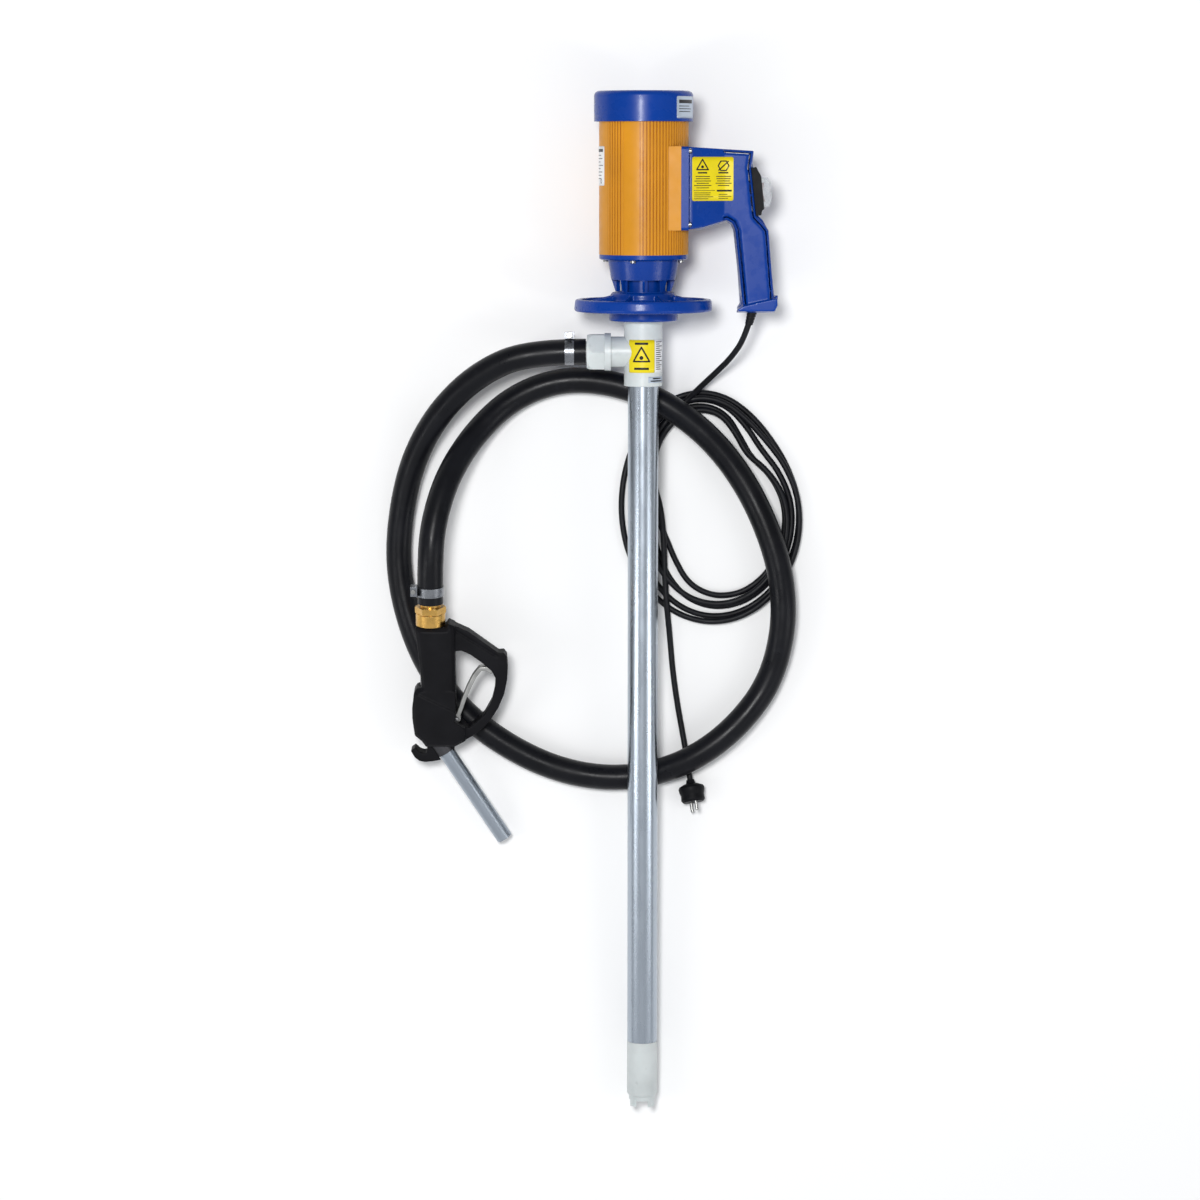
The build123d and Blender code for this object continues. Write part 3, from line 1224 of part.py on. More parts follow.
def spout():
    """Aluminium spout tube, turned down where it seats in the valve body, with an open tip."""
    seat = ring(SPOUT_SEAT_D, SPOUT_BORE_D, SEAT_GAP, SPOUT_SEAT + FREE_GAP)
    tube = ring(SPOUT_D, SPOUT_BORE_D, SPOUT_SEAT + FREE_GAP, SPOUT_LENGTH)
    return spout_place() * (seat + tube)


def lever_points():
    """Centre line of the curved lever, from the pivot to its hooked end in the guard's arm."""
    return [(34, -131), (39, -118), (44.5, -102), (51, -86), (58.5, -71), (66.5, -60.5), (75, -60.5), (83, -65)]


def thickened(points, width):
    """Outline of a bent bar of one width along a centre line."""
    left = []
    right = []
    for before, (x, z), after in zip(points[:1] + points, points, points[1:] + points[-1:]):
        length = math.dist(before, after)
        side_x = (after[1] - before[1]) / length * width / 2
        side_z = -(after[0] - before[0]) / length * width / 2
        left.append((x + side_x, z + side_z))
        right.append((x - side_x, z - side_z))
    return left + right[::-1]


def nozzle_lever():
    """Bowed metal lever with a boss at its pivot."""
    body = plate(thickened(lever_points(), LEVER_THICKNESS), -LEVER_HALF, LEVER_HALF)
    boss = Pos(*LEVER_PIVOT) * Rot(X=90) * Cylinder(LEVER_PIN_D / 2 + 3, 2 * LEVER_HALF)
    return body + boss - Pos(*LEVER_PIVOT) * Rot(X=90) * Cylinder(LEVER_PIN_D / 2 + RUN_GAP, 60)


def lever_pin():
    """Pivot pin of the lever, across the cover."""
    return Pos(*LEVER_PIVOT) * Rot(X=90) * Cylinder(LEVER_PIN_D / 2, 2 * GUARD_HALF - 1)


def valve_stem():
    """Poppet and stem that the lever lifts."""
    poppet_low = -VALVE_BODY_LENGTH + 30
    body = disc(STEM_D, poppet_low, -20)
    return body + disc(VALVE_BORE_D - 3, poppet_low, poppet_low + 5)


def valve_spring():
    """Valve spring as a plain sleeve of its outer size."""
    low = -VALVE_BODY_LENGTH + 30 + 5 + FREE_GAP
    return ring(STEM_D + 8, STEM_D + 4, low, -30)


def brass_ring():
    """Round swivel ring on the nozzle's inlet."""
    body = disc(BRASS_RING_D, SEAT_GAP, BRASS_RING_HEIGHT)
    edges = body.edges().filter_by(GeomType.CIRCLE)
    return chamfer(edges, 1) - disc(BRASS_BORE_D, -1, BRASS_RING_HEIGHT + 1)


def brass_hose_tail():
    """Hexagonal nut and barbed tail that the hose is pushed over."""
    low = BRASS_RING_HEIGHT + SEAT_GAP
    high = low + BRASS_HEX_HEIGHT
    hexagon = Pos(0, 0, low) * extrude(RegularPolygon(BRASS_HEX_CORNERS / 2, 6), BRASS_HEX_HEIGHT)
    cone = Cone(BRASS_HEX_CORNERS / 2 + 7, BRASS_HEX_CORNERS / 2 - 1, BRASS_HEX_HEIGHT)
    body = hexagon & Pos(0, 0, (low + high) / 2) * cone
    body += disc(HOSE_TAIL_D + 3, high, HOSE_END_HEIGHT - SEAT_GAP)
    body += disc(HOSE_TAIL_D - 1.6, high, high + BRASS_TAIL_LENGTH)
    for index in range(3):
        place = HOSE_END_HEIGHT + 4 + index * 8
        body += Pos(0, 0, place + 2.5) * Cone(HOSE_TAIL_D / 2, HOSE_TAIL_D / 2 - 1.2, 5)
    return body - disc(BRASS_BORE_D, low - 1, high + BRASS_TAIL_LENGTH + 1)


# ---------------------------------------------------------------- hose, cable and plug


def tube_along(points, diameter, bore, name, least):
    """Tube on straight runs joined by arcs, each as large as its two runs allow."""
    places = [Vector(*point) for point in points]
    radii = []
    for before, corner, after in zip(places, places[1:], places[2:]):
        turn = math.radians((corner - before).get_angle(after - corner))
        shorter = min((corner - before).length, (after - corner).length)
        radii.append(0.45 * shorter / math.tan(turn / 2))
    path = FilletPolyline(*places, radius=radii)
    start = Plane(origin=places[0], z_dir=(places[1] - places[0]))
    section = Circle(diameter / 2)
    if bore:
        section -= Circle(bore / 2)
    solid = sweep(start * section, path=path)
    area = math.pi * (diameter**2 - bore**2) / 4
    NOTES.append(
        f"{name}: length {path.length:.1f}, least radius {min(radii):.1f} of {least:.0f}, "
        f"volume ratio {solid.volume / (area * path.length):.4f}"
    )
    NOTES.append(f"{name} radii: " + " ".join(f"{radius:.0f}" for radius in radii))
    return solid


def in_row(point, place):
    """A point of the pump's or the nozzle's own frame, in the row frame."""
    return tuple((place * Pos(*point)).position)


def hose_points():
    """The whole route of the hose, from the outlet's tail to the nozzle's tail."""
    first = HOSE_TAIL_COLLAR_END
    start = [in_row((-first - extra, 0, BRANCH_HEIGHT), PUMP_PLACE) for extra in (0, HOSE_FIRST_RUN)]
    ends = [in_row((0, 0, HOSE_END_HEIGHT + extra), NOZZLE_PLACE) for extra in (HOSE_LAST_RUN, 0)]
    return start + [(x, y, z + HOSE_D / 2) for x, y, z in HOSE_ROUTE] + ends


def lead_points():
    """The cable from inside its bush down to the coil."""
    exit_plane = cable_exit()
    start = exit_plane.origin
    second = start + exit_plane.z_dir * LEAD_FIRST_RUN
    return [in_row(start, PUMP_PLACE), in_row(second, PUMP_PLACE)] + LEAD_ROUTE


def mains_coil():
    """Outer shape of the loosely coiled cable."""
    outer = Pos(*COIL_CENTRE) * Ellipse(*COIL_HALF_SIZES)
    gap = Pos(*COIL_GAP_CENTRE) * Ellipse(*COIL_GAP_HALF_SIZES)
    return extrude(outer - gap, COIL_HEIGHT)


def plug_place():
    """Place of the plug: its own Z runs from the cable out along the pins."""
    before, entry = Vector(*TAIL_ROUTE[-2]), Vector(*TAIL_ROUTE[-1])
    return Plane(origin=entry, x_dir=(0.35, 0, 1), z_dir=(entry - before)).location


def plug_body():
    """Round plug with a grip, a short boot and a flat face."""
    end = PLUG_BOOT_LENGTH + PLUG_LENGTH
    boot = PLUG_BOOT_LENGTH
    body = turned(
        [
            (0, 0),
            (PLUG_BOOT_D / 2, 0),
            (PLUG_BOOT_D / 2 + 1, boot),
            (PLUG_GRIP_D / 2 - 8, boot + 1),
            (PLUG_GRIP_D / 2 - 1.5, boot + 4),
            (PLUG_GRIP_D / 2, boot + 7),
            (PLUG_GRIP_D / 2 - 0.5, boot + 11),
            (PLUG_FACE_D / 2, boot + 16),
            (PLUG_FACE_D / 2 + 0.4, end - 3),
            (PLUG_FACE_D / 2 - 2, end),
            (0, end),
        ]
    )
    for side in (-1, 1):
        x = side * PLUG_PIN_SPACING / 2
        body -= Pos(x, 0, 0) * disc(PLUG_PIN_D, end - 8, end + 1)
    return plug_place() * body


def plug_pins():
    """Two round pins with domed ends."""
    end = PLUG_BOOT_LENGTH + PLUG_LENGTH
    pins = []
    for side in (-1, 1):
        pin = disc(PLUG_PIN_D, end - 8, end + PLUG_PIN_LENGTH)
        pin = fillet(pin.edges().filter_by(GeomType.CIRCLE).sort_by(Axis.Z)[-1], 1.6)
        pins.append(plug_place() * (Pos(side * PLUG_PIN_SPACING / 2, 0, 0) * pin))
    return pins


def outlet_clamp_place():
    """Place of the clamp on the hose at the branch, its housing turned up along the pump."""
    start = HOSE_TAIL_COLLAR_END + OUTLET_CLAMP_START
    return PUMP_PLACE * Pos(-start, 0, BRANCH_HEIGHT) * Rot(Y=-90)


def nozzle_clamp_place():
    """Place of the clamp on the hose at the nozzle."""
    return NOZZLE_PLACE * Pos(0, 0, HOSE_END_HEIGHT + NOZZLE_CLAMP_START) * Rot(Z=180)


# ---------------------------------------------------------------- all pieces

os.makedirs("parts", exist_ok=True)

PUMP_PIECES = {
    "outer_tube": outer_tube,
    "pump_foot": pump_foot,
    "foot_o_ring": foot_o_ring,
    "foot_bush": foot_bush,
    "inner_tube": inner_tube,
    "tube_bearings": tube_bearings,
    "drive_shaft": drive_shaft,
    "impeller": impeller,
    "pump_head": pump_head,
    "shaft_seal": shaft_seal,
    "seal_cover": seal_cover,
    "union_nut": union_nut,
    "union_gasket": union_gasket,
    "hose_tail": hose_tail,
    "hand_wheel": hand_wheel,
    "thrust_ring": thrust_ring,
    "end_bell": end_bell,
    "end_bell_screws": end_bell_screws,
    "motor_barrel": motor_barrel,
    "fan_cap": fan_cap,
    "fan_cap_screws": fan_cap_screws,
    "upper_bearing_bracket": upper_bearing_bracket,
    "motor_bearings": motor_bearings,
    "stator_core": stator_core,
    "field_coils": field_coils,
    "armature_core": armature_core,
    "armature_windings": armature_windings,
    "commutator": commutator,
    "carbon_brushes": carbon_brushes,
    "brush_holders": brush_holders,
    "motor_shaft": motor_shaft,
    "cooling_fan": cooling_fan,
    "handle_frame": handle_frame,
    "switch_frame": switch_frame,
    "switch_rocker": switch_rocker,
    "switch_cover": switch_cover,
    "cable_bush": cable_bush,
}

NOZZLE_PIECES = {
    "nozzle_cover": nozzle_cover,
    "valve_body": valve_body,
    "spout": spout,
    "nozzle_lever": nozzle_lever,
    "lever_pin": lever_pin,
    "valve_stem": valve_stem,
    "valve_spring": valve_spring,
    "brass_ring": brass_ring,
    "brass_hose_tail": brass_hose_tail,
}

for name, make in PUMP_PIECES.items():
    write(name, make(), PUMP_PLACE)
for name, make in NOZZLE_PIECES.items():
    write(name, make(), NOZZLE_PLACE)

write("handle_shell", handle_half(-1), PUMP_PLACE)
write("handle_back_cover", handle_half(1), PUMP_PLACE)
write("handle_screws", handle_screws(), PUMP_PLACE)
write("outlet_clamp", outlet_clamp_place() * clamp_band())
write("nozzle_clamp", nozzle_clamp_place() * clamp_band())
write("clamp_screws", [outlet_clamp_place() * clamp_screw(), nozzle_clamp_place() * clamp_screw()])
write("discharge_hose", tube_along(hose_points(), HOSE_D, HOSE_BORE_D, "discharge_hose", 5 * HOSE_D))
write("mains_lead", tube_along(lead_points(), CABLE_D, 0, "mains_lead", 5 * CABLE_D))
write("mains_coil", mains_coil())
write("mains_tail", tube_along(TAIL_ROUTE, CABLE_D, 0, "mains_tail", 5 * CABLE_D))
write("plug_body", plug_body())
write("plug_pins", plug_pins())

for note in NOTES:
    print(note)
print("pump tilt", round(PUMP_TILT, 3), "foot height", round(FOOT_Z, 2))
print("cable exit", [round(value, 2) for value in lead_points()[0]], [round(v, 2) for v in lead_points()[1]])
print("hose start", [[round(v, 2) for v in point] for point in hose_points()[:2]])
print("hose end", [[round(v, 2) for v in point] for point in hose_points()[-2:]])
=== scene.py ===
"""Looks of a drum barrel pump that lies on the floor with its hose, trigger nozzle and mains cable."""

import json
import math

import bmesh
import bpy
from bpy.props import FloatProperty, FloatVectorProperty, IntProperty, PointerProperty
from mathutils import Matrix, Vector
from mathutils.bvhtree import BVHTree


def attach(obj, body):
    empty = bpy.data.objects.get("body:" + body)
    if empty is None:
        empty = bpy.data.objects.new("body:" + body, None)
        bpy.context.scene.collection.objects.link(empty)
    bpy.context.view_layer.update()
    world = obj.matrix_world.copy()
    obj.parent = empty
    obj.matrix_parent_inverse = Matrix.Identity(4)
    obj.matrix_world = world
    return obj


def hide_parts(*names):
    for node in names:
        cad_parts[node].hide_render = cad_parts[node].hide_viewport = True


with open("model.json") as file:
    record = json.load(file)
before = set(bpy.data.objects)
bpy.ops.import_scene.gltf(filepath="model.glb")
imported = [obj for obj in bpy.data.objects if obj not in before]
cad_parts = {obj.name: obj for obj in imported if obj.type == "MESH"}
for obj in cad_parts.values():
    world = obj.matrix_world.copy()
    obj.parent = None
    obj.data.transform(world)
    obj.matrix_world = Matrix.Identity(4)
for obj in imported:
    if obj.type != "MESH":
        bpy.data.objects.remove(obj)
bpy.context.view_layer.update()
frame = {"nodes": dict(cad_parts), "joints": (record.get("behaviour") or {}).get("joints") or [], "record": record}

bl_info = {
    "name": "Drum barrel pump",
    "version": (1, 0, 0),
    "blender": (4, 5, 0),
    "location": "View3D > Sidebar > Barrel pump",
    "description": "Hose, cable, mouldings, labels and finishes of a drum barrel pump",
    "category": "Add Mesh",
}

MM = 0.001
BODY = "root"
NODES = frame["nodes"]
JOINTS = {joint["name"]: joint for joint in frame["joints"]}
SLOTS = {item["node"]: item["material_slot"] for item in frame["record"]["subparts"]}

# Routes in the row frame, in metres
HOSE_ROUTE = [
    (-0.0090, 0.34724, 0.08913), (-0.0860, 0.34724, 0.08913), (-0.152, 0.319, 0.078),
    (-0.206, 0.269, 0.056), (-0.243, 0.205, 0.036), (-0.261, 0.134, 0.023), (-0.267, 0.060, 0.0176),
    (-0.254, -0.014, 0.0176), (-0.226, -0.084, 0.0176), (-0.180, -0.146, 0.0176),
    (-0.118, -0.193, 0.0176), (-0.048, -0.226, 0.0176), (0.020, -0.238, 0.0176),
    (0.084, -0.232, 0.0176), (0.148, -0.204, 0.033), (0.204, -0.158, 0.031), (0.245, -0.100, 0.025),
    (0.262, -0.024, 0.035), (0.257, 0.048, 0.037), (0.235, 0.116, 0.036), (0.203, 0.178, 0.031),
    (0.158, 0.234, 0.033), (0.098, 0.279, 0.037), (0.032, 0.305, 0.027), (-0.040, 0.311, 0.018),
    (-0.107, 0.287, 0.020), (-0.158, 0.240, 0.036), (-0.194, 0.184, 0.074), (-0.213, 0.124, 0.097),
    (-0.2188, 0.06801, 0.10192), (-0.2188, 0.00932, 0.08945),
]
LEAD_ROUTE = [
    (0.2144, 0.40235, 0.09225), (0.2054, 0.36794, 0.08669), (0.188, 0.340, 0.062),
    (0.164, 0.316, 0.037), (0.139, 0.292, 0.016), (0.119, 0.271, 0.011),
]
TAIL_ROUTE = [
    (0.099, 0.032, 0.0124), (0.102, -0.006, 0.012), (0.106, -0.044, 0.0041), (0.110, -0.092, 0.0041),
    (0.117, -0.140, 0.0041), (0.124, -0.178, 0.0041), (0.130, -0.213, 0.0072), (0.134, -0.240, 0.0144),
]


# Hidden inner side of the mouldings, in metres
BACKING_DEPTH = 0.0045
MERGE_DISTANCE = 0.000002
OFF_SURFACE = 0.0001

# The nozzle's cover, in its own millimetres
COVER_FLAT = 12.5
GUARD_FLAT = 8.5
SHOULDER_RISE = 1.9
GROOVE_START = Vector((33.0, -5.0))
GROOVE_END = Vector((89.0, -41.0))
GROOVE_DEPTH = 1.8
SOFT_EDGE = 2.4

# The cable's coil: angles in degrees, widths in metres, bumps as (middle, half width, height)
COIL_START = 119.0
COIL_TURNS = 5.24
COIL_ENTRY_HEIGHT = 0.011
OUTLINE_BUMPS = ((45, 38, -0.165), (135, 34, 0.055))
LANE_WIDTH = 0.0092
LANE_BUMPS = ((45, 28, 0.0075), (268, 40, 0.0052), (200, 38, 0.0095))
TIGHT_LANE = 0.0088

# Printed film: heights over the surface in millimetres, and the ink's material slot
FILM_LIFT = 0.15
INK_LIFT = 0.3
INK = 1

FLOOR_HALF = 9.0
FLOOR_DROP = 0.0003
FADE_FROM, FADE_TO = -0.10, -0.30


# ------------------------------------------------------------ places on the object


def joint_frame(origin, along, across):
    """A right-handed frame with Z along one direction and X near another."""
    z = Vector(along).normalized()
    x = (Vector(across) - z * z.dot(Vector(across))).normalized()
    turn = Matrix((x, z.cross(x), z)).transposed().to_4x4()
    return Matrix.Translation(Vector(origin)) @ turn


PUMP_AXIS = Vector(JOINTS["armature_spin"]["axis"])
AXIS_POINT = Vector(JOINTS["armature_spin"]["pos_m"])
ARMATURE_HEIGHT = 1.245
PUMP = joint_frame(AXIS_POINT - PUMP_AXIS * ARMATURE_HEIGHT, PUMP_AXIS, (1, 0, 0))
NOZZLE_AXIS = Vector(JOINTS["valve_lift"]["axis"])
LEVER_PIVOT = Vector(JOINTS["lever_pull"]["pos_m"])
PIVOT_OFFSET = (0.034, 0.0, -0.131)
NOZZLE = joint_frame((0, 0, 0), NOZZLE_AXIS, (1, 0, 0))
NOZZLE = Matrix.Translation(LEVER_PIVOT - NOZZLE @ Vector(PIVOT_OFFSET)) @ NOZZLE
NOZZLE_INVERSE = NOZZLE.inverted()


def pump_point(x, y, z):
    """A point of the pump's own frame, in millimetres, in the row frame."""
    return PUMP @ Vector((x * MM, y * MM, z * MM))


# ------------------------------------------------------------ sizes and colours


class PumpSizes(bpy.types.PropertyGroup):
    """Sizes of what the looks add to the frame"""

    hose_diameter: FloatProperty(
        name="Hose diameter", description="Outside of the discharge hose",
        default=0.035, min=0.02, max=0.05, unit="LENGTH",
    )
    hose_length: FloatProperty(
        name="Hose length", description="Real length of the discharge hose",
        default=2.15, min=1.5, max=3.0, unit="LENGTH",
    )
    cable_diameter: FloatProperty(
        name="Cable diameter", description="Outside of the mains cable's sheath",
        default=0.008, min=0.005, max=0.012, unit="LENGTH",
    )
    cable_length: FloatProperty(
        name="Cable length", description="Real length of the mains cable",
        default=4.6, min=2.0, max=10.0, unit="LENGTH",
    )
    coil_centre: FloatVectorProperty(
        name="Coil centre", description="Middle of the loosely coiled cable on the floor",
        default=(0.168, 0.137), size=2, subtype="XYZ", unit="LENGTH",
    )
    coil_half_sizes: FloatVectorProperty(
        name="Coil half sizes", description="Half the coil's width and half its height",
        default=(0.126, 0.162), size=2, subtype="XYZ", unit="LENGTH",
    )
    points_per_turn: IntProperty(
        name="Points per turn", description="Control points in each turn of the cable",
        default=18, min=12, max=32,
    )
    label_thickness: FloatProperty(
        name="Label thickness", description="Thickness of the printed film",
        default=0.00018, min=0.0001, max=0.001, unit="LENGTH",
    )


class PumpColours(bpy.types.PropertyGroup):
    """Colours of the finishes, linear"""

    blue: FloatVectorProperty(
        name="Blue plastic", description="Handle, hand wheel, fan cap and end bell",
        default=(0.0, 0.036, 0.260), size=3, subtype="COLOR", min=0, max=1,
    )
    orange: FloatVectorProperty(
        name="Orange enamel", description="Motor barrel", default=(0.600, 0.250, 0.012), size=3,
        subtype="COLOR", min=0, max=1,
    )
    tube: FloatVectorProperty(
        name="Tube aluminium", description="Immersion tube and spout", default=(0.42, 0.47, 0.53), size=3,
        subtype="COLOR", min=0, max=1,
    )
    grey_plastic: FloatVectorProperty(
        name="Grey plastic", description="Pump head, union nut and foot", default=(0.60, 0.64, 0.64), size=3,
        subtype="COLOR", min=0, max=1,
    )
    rubber: FloatVectorProperty(
        name="Black rubber", description="Hose and cable", default=(0.0045, 0.0048, 0.0065), size=3,
        subtype="COLOR", min=0, max=1,
    )
    brass: FloatVectorProperty(
        name="Brass", description="Swivel ring and hose tail", default=(0.62, 0.37, 0.10), size=3,
        subtype="COLOR", min=0, max=1,
    )
    label: FloatVectorProperty(
        name="Yellow label", description="Printed film on the handle and the head",
        default=(0.74, 0.60, 0.006), size=3, subtype="COLOR", min=0, max=1,
    )


class PumpStage(bpy.types.PropertyGroup):
    """Camera, light and floor"""

    camera_place: FloatVectorProperty(
        name="Camera place", description="Where the camera stands in the row frame",
        default=(0.010, 0.3413, 4.7811), size=3, subtype="XYZ", unit="LENGTH",
    )
    camera_target: FloatVectorProperty(
        name="Camera target", description="The point that the camera looks at",
        default=(0.010, 0.007, 0.0), size=3, subtype="XYZ", unit="LENGTH",
    )
    lens: FloatProperty(
        name="Lens", description="Focal length of the camera",
        default=104.6, min=20, max=300, subtype="DISTANCE_CAMERA",
    )
    floor_colour: FloatVectorProperty(
        name="Floor", description="Pale floor",
        default=(0.90, 0.90, 0.90), size=3, subtype="COLOR", min=0, max=1,
    )
    key_power: FloatProperty(
        name="Key light", description="Power of the main soft light",
        default=122.0, min=0, max=2000, unit="POWER",
    )
    fill_power: FloatProperty(
        name="Fill light", description="Power of each side light",
        default=14.0, min=0, max=2000, unit="POWER",
    )
    ambient: FloatProperty(
        name="Ambient", description="Strength of the surround at the motor's end",
        default=0.30, min=0, max=5,
    )
    ambient_far: FloatProperty(
        name="Far ambient", description="Strength of the surround at the foot's end",
        default=0.75, min=0, max=5,
    )


def sizes():
    """The sizes that the scene holds."""
    return bpy.context.scene.pump_sizes


def colours():
    """The colours that the scene holds."""
    return bpy.context.scene.pump_colours


# ------------------------------------------------------------ finishes


class Look:
    """A finish under construction: its node tree, its shader and the object's own coordinates."""

    def __init__(self, name, metallic=0.0, roughness=0.5, **uniform):
        self.material = bpy.data.materials.new(name)
        self.material.use_nodes = True
        self.tree = self.material.node_tree
        self.shader = self.tree.nodes["Principled BSDF"]
        self.shader.inputs["Metallic"].default_value = metallic
        self.shader.inputs["Roughness"].default_value = roughness
        for socket, value in uniform.items():
            self.shader.inputs[socket.replace("_", " ")].default_value = value
        self.place = self.node("ShaderNodeTexCoord").outputs["Object"]

    def node(self, kind, **settings):
        """A new node with its settings."""
        made = self.tree.nodes.new(kind)
        for name, value in settings.items():
            setattr(made, name, value)
        return made

    def put(self, socket, value):
        """Link an input to another node's output, or set its value."""
        if isinstance(value, bpy.types.NodeSocket):
            self.tree.links.new(value, socket)
        else:
            socket.default_value = value

    def feed(self, node, **values):
        """Link or set a node's inputs by name."""
        for name, value in values.items():
            self.put(node.inputs[name.replace("_", " ")], value)
        return node

    def stretched(self, scale):
        """The object's coordinates, scaled by its own three axes."""
        return self.feed(self.node("ShaderNodeMapping"), Vector=self.place, Scale=scale).outputs["Vector"]

    def noise(self, scale, detail=3.0, stretch=None):
        """Soft noise from 0 to 1."""
        vector = self.stretched(stretch) if stretch else self.place
        made = self.feed(
            self.node("ShaderNodeTexNoise"), Vector=vector, Scale=scale, Detail=detail, Roughness=0.55
        )
        return made.outputs["Fac"]

    def window(self, value, low, high, to_low=0.0, to_high=1.0):
        """A value mapped from one range to another and held there."""
        made = self.node("ShaderNodeMapRange", clamp=True)
        self.feed(made, Value=value, From_Min=low, From_Max=high, To_Min=to_low, To_Max=to_high)
        return made.outputs["Result"]

    def times(self, first, second):
        """Product of two values."""
        made = self.node("ShaderNodeMath", operation="MULTIPLY")
        self.put(made.inputs[0], first)
        self.put(made.inputs[1], second)
        return made.outputs["Value"]

    def mixed(self, share, first, second):
        """Two colours mixed by a value."""
        made = self.node("ShaderNodeMix", data_type="RGBA")
        for index, value in ((0, share), (6, first), (7, second)):
            self.put(made.inputs[index], value)
        return made.outputs[2]

    def edges(self, radius):
        """1 along the outer edges of the piece and 0 on its faces."""
        soft = self.node("ShaderNodeBevel", samples=4)
        soft.inputs["Radius"].default_value = radius
        flat = self.node("ShaderNodeNewGeometry").outputs["Normal"]
        dot = self.node("ShaderNodeVectorMath", operation="DOT_PRODUCT")
        self.tree.links.new(soft.outputs["Normal"], dot.inputs[0])
        self.tree.links.new(flat, dot.inputs[1])
        return self.window(dot.outputs["Value"], 0.985, 0.90)

    def colour(self, socket):
        """Send a colour to the shader."""
        self.tree.links.new(socket, self.shader.inputs["Base Color"])

    def roughness(self, value, low, high):
        """Send a value, as a range of roughness, to the shader."""
        self.tree.links.new(self.window(value, 0.3, 0.7, low, high), self.shader.inputs["Roughness"])

    def relief(self, *layers, soften=0.0):
        """Bump layers of (height, depth in metres) on edges softened by a radius."""
        normal = None
        if soften:
            bevel = self.node("ShaderNodeBevel", samples=4)
            bevel.inputs["Radius"].default_value = soften
            normal = bevel.outputs["Normal"]
        for height, depth in layers:
            bump = self.feed(self.node("ShaderNodeBump"), Distance=depth, Strength=1.0, Height=height)
            if normal:
                self.tree.links.new(normal, bump.inputs["Normal"])
            normal = bump.outputs["Normal"]
        self.tree.links.new(normal, self.shader.inputs["Normal"])

    def vector(self, operation, first, second=None):
        """A vector operation on a socket."""
        made = self.node("ShaderNodeVectorMath", operation=operation)
        self.tree.links.new(first, made.inputs[0])
        if second is not None:
            made.inputs[1].default_value = second
        return made

    def round_axis(self, point, axis):
        """Distance from an axis, in metres, and angle round it from the upper side towards +X."""
        offset = self.vector("SUBTRACT", self.place, point).outputs["Vector"]
        cross = self.vector("CROSS_PRODUCT", offset, axis).outputs["Vector"]
        radius = self.vector("LENGTH", cross).outputs["Value"]
        side = self.vector("DOT_PRODUCT", offset, (1, 0, 0)).outputs["Value"]
        up = self.vector("DOT_PRODUCT", offset, (0, -axis[2], axis[1])).outputs["Value"]
        angle = self.node("ShaderNodeMath", operation="ARCTAN2")
        self.tree.links.new(side, angle.inputs[0])
        self.tree.links.new(up, angle.inputs[1])
        return radius, angle.outputs["Value"]


def shade(colour, factor):
    """A colour made lighter or darker."""
    return tuple(min(1.0, channel * factor) for channel in colour) + (1.0,)


def mottled(look, scale, detail, colour, dark, light):
    """A colour that drifts between a darker and a lighter tone."""
    drift = look.window(look.noise(scale, detail), 0.3, 0.7)
    return look.mixed(drift, shade(colour, dark), shade(colour, light))


def blue_plastic():
    """Glossy moulded blue plastic with a fine skin and faint paler scuffs."""
    look = Look("blue_plastic", roughness=0.3, Coat_Weight=0.05, Coat_Roughness=0.10, Specular_IOR_Level=0.22)
    blue = colours().blue
    cloud = look.window(look.noise(9.0, 4.0), 0.35, 0.65)
    base = look.mixed(cloud, shade(blue, 0.95), shade(blue, 1.06))
    scuff = look.window(look.noise(140.0, 6.0, (1.0, 0.35, 1.0)), 0.68, 0.76, 0.0, 0.16)
    look.colour(look.mixed(scuff, base, (0.10, 0.17, 0.45, 1)))
    look.roughness(look.noise(60.0, 5.0), 0.20, 0.36)
    look.relief((look.noise(1300.0, 2.0), 0.00003))
    return look.material


def orange_enamel():
    """Orange enamel on ribbed aluminium, with painted shade in the grooves and a painted highlight along the outer
    edges.
    """
    look = Look(
        "orange_enamel", roughness=0.34, Coat_Weight=0.05, Coat_Roughness=0.18, Specular_IOR_Level=0.18
    )
    base = mottled(look, 14.0, 4.0, colours().orange, 0.90, 1.08)
    radius, angle = look.round_axis(AXIS_POINT, PUMP_AXIS)
    # Painted shade: the grooves between the ribs are darkened, except on the two smooth bands.
    groove = look.window(radius, 0.05995, 0.05945)
    for start, end in ((-28.0, -6.0), (-112.0, -54.0)):
        before = look.window(angle, math.radians(start - 0.6), math.radians(start))
        after = look.window(angle, math.radians(end + 0.6), math.radians(end))
        groove = look.times(groove, look.window(look.times(before, after), 1.0, 0.0))
    banded_groove_shade = look.times(groove, look.window(look.noise(30.0, 3.0), 0.25, 0.6, 0.50, 0.85))
    # The painted shade gives the grooves a dark brown-orange.
    base = look.mixed(banded_groove_shade, base, (0.36, 0.105, 0.004, 1))
    # Painted highlight: a paler orange along the outer edges.
    look.colour(look.mixed(look.times(look.edges(0.0006), 0.3), base, (0.92, 0.55, 0.14, 1)))
    look.roughness(look.noise(80.0, 4.0), 0.30, 0.46)
    look.relief((look.noise(700.0, 3.0), 0.00004), soften=0.0004)
    return look.material


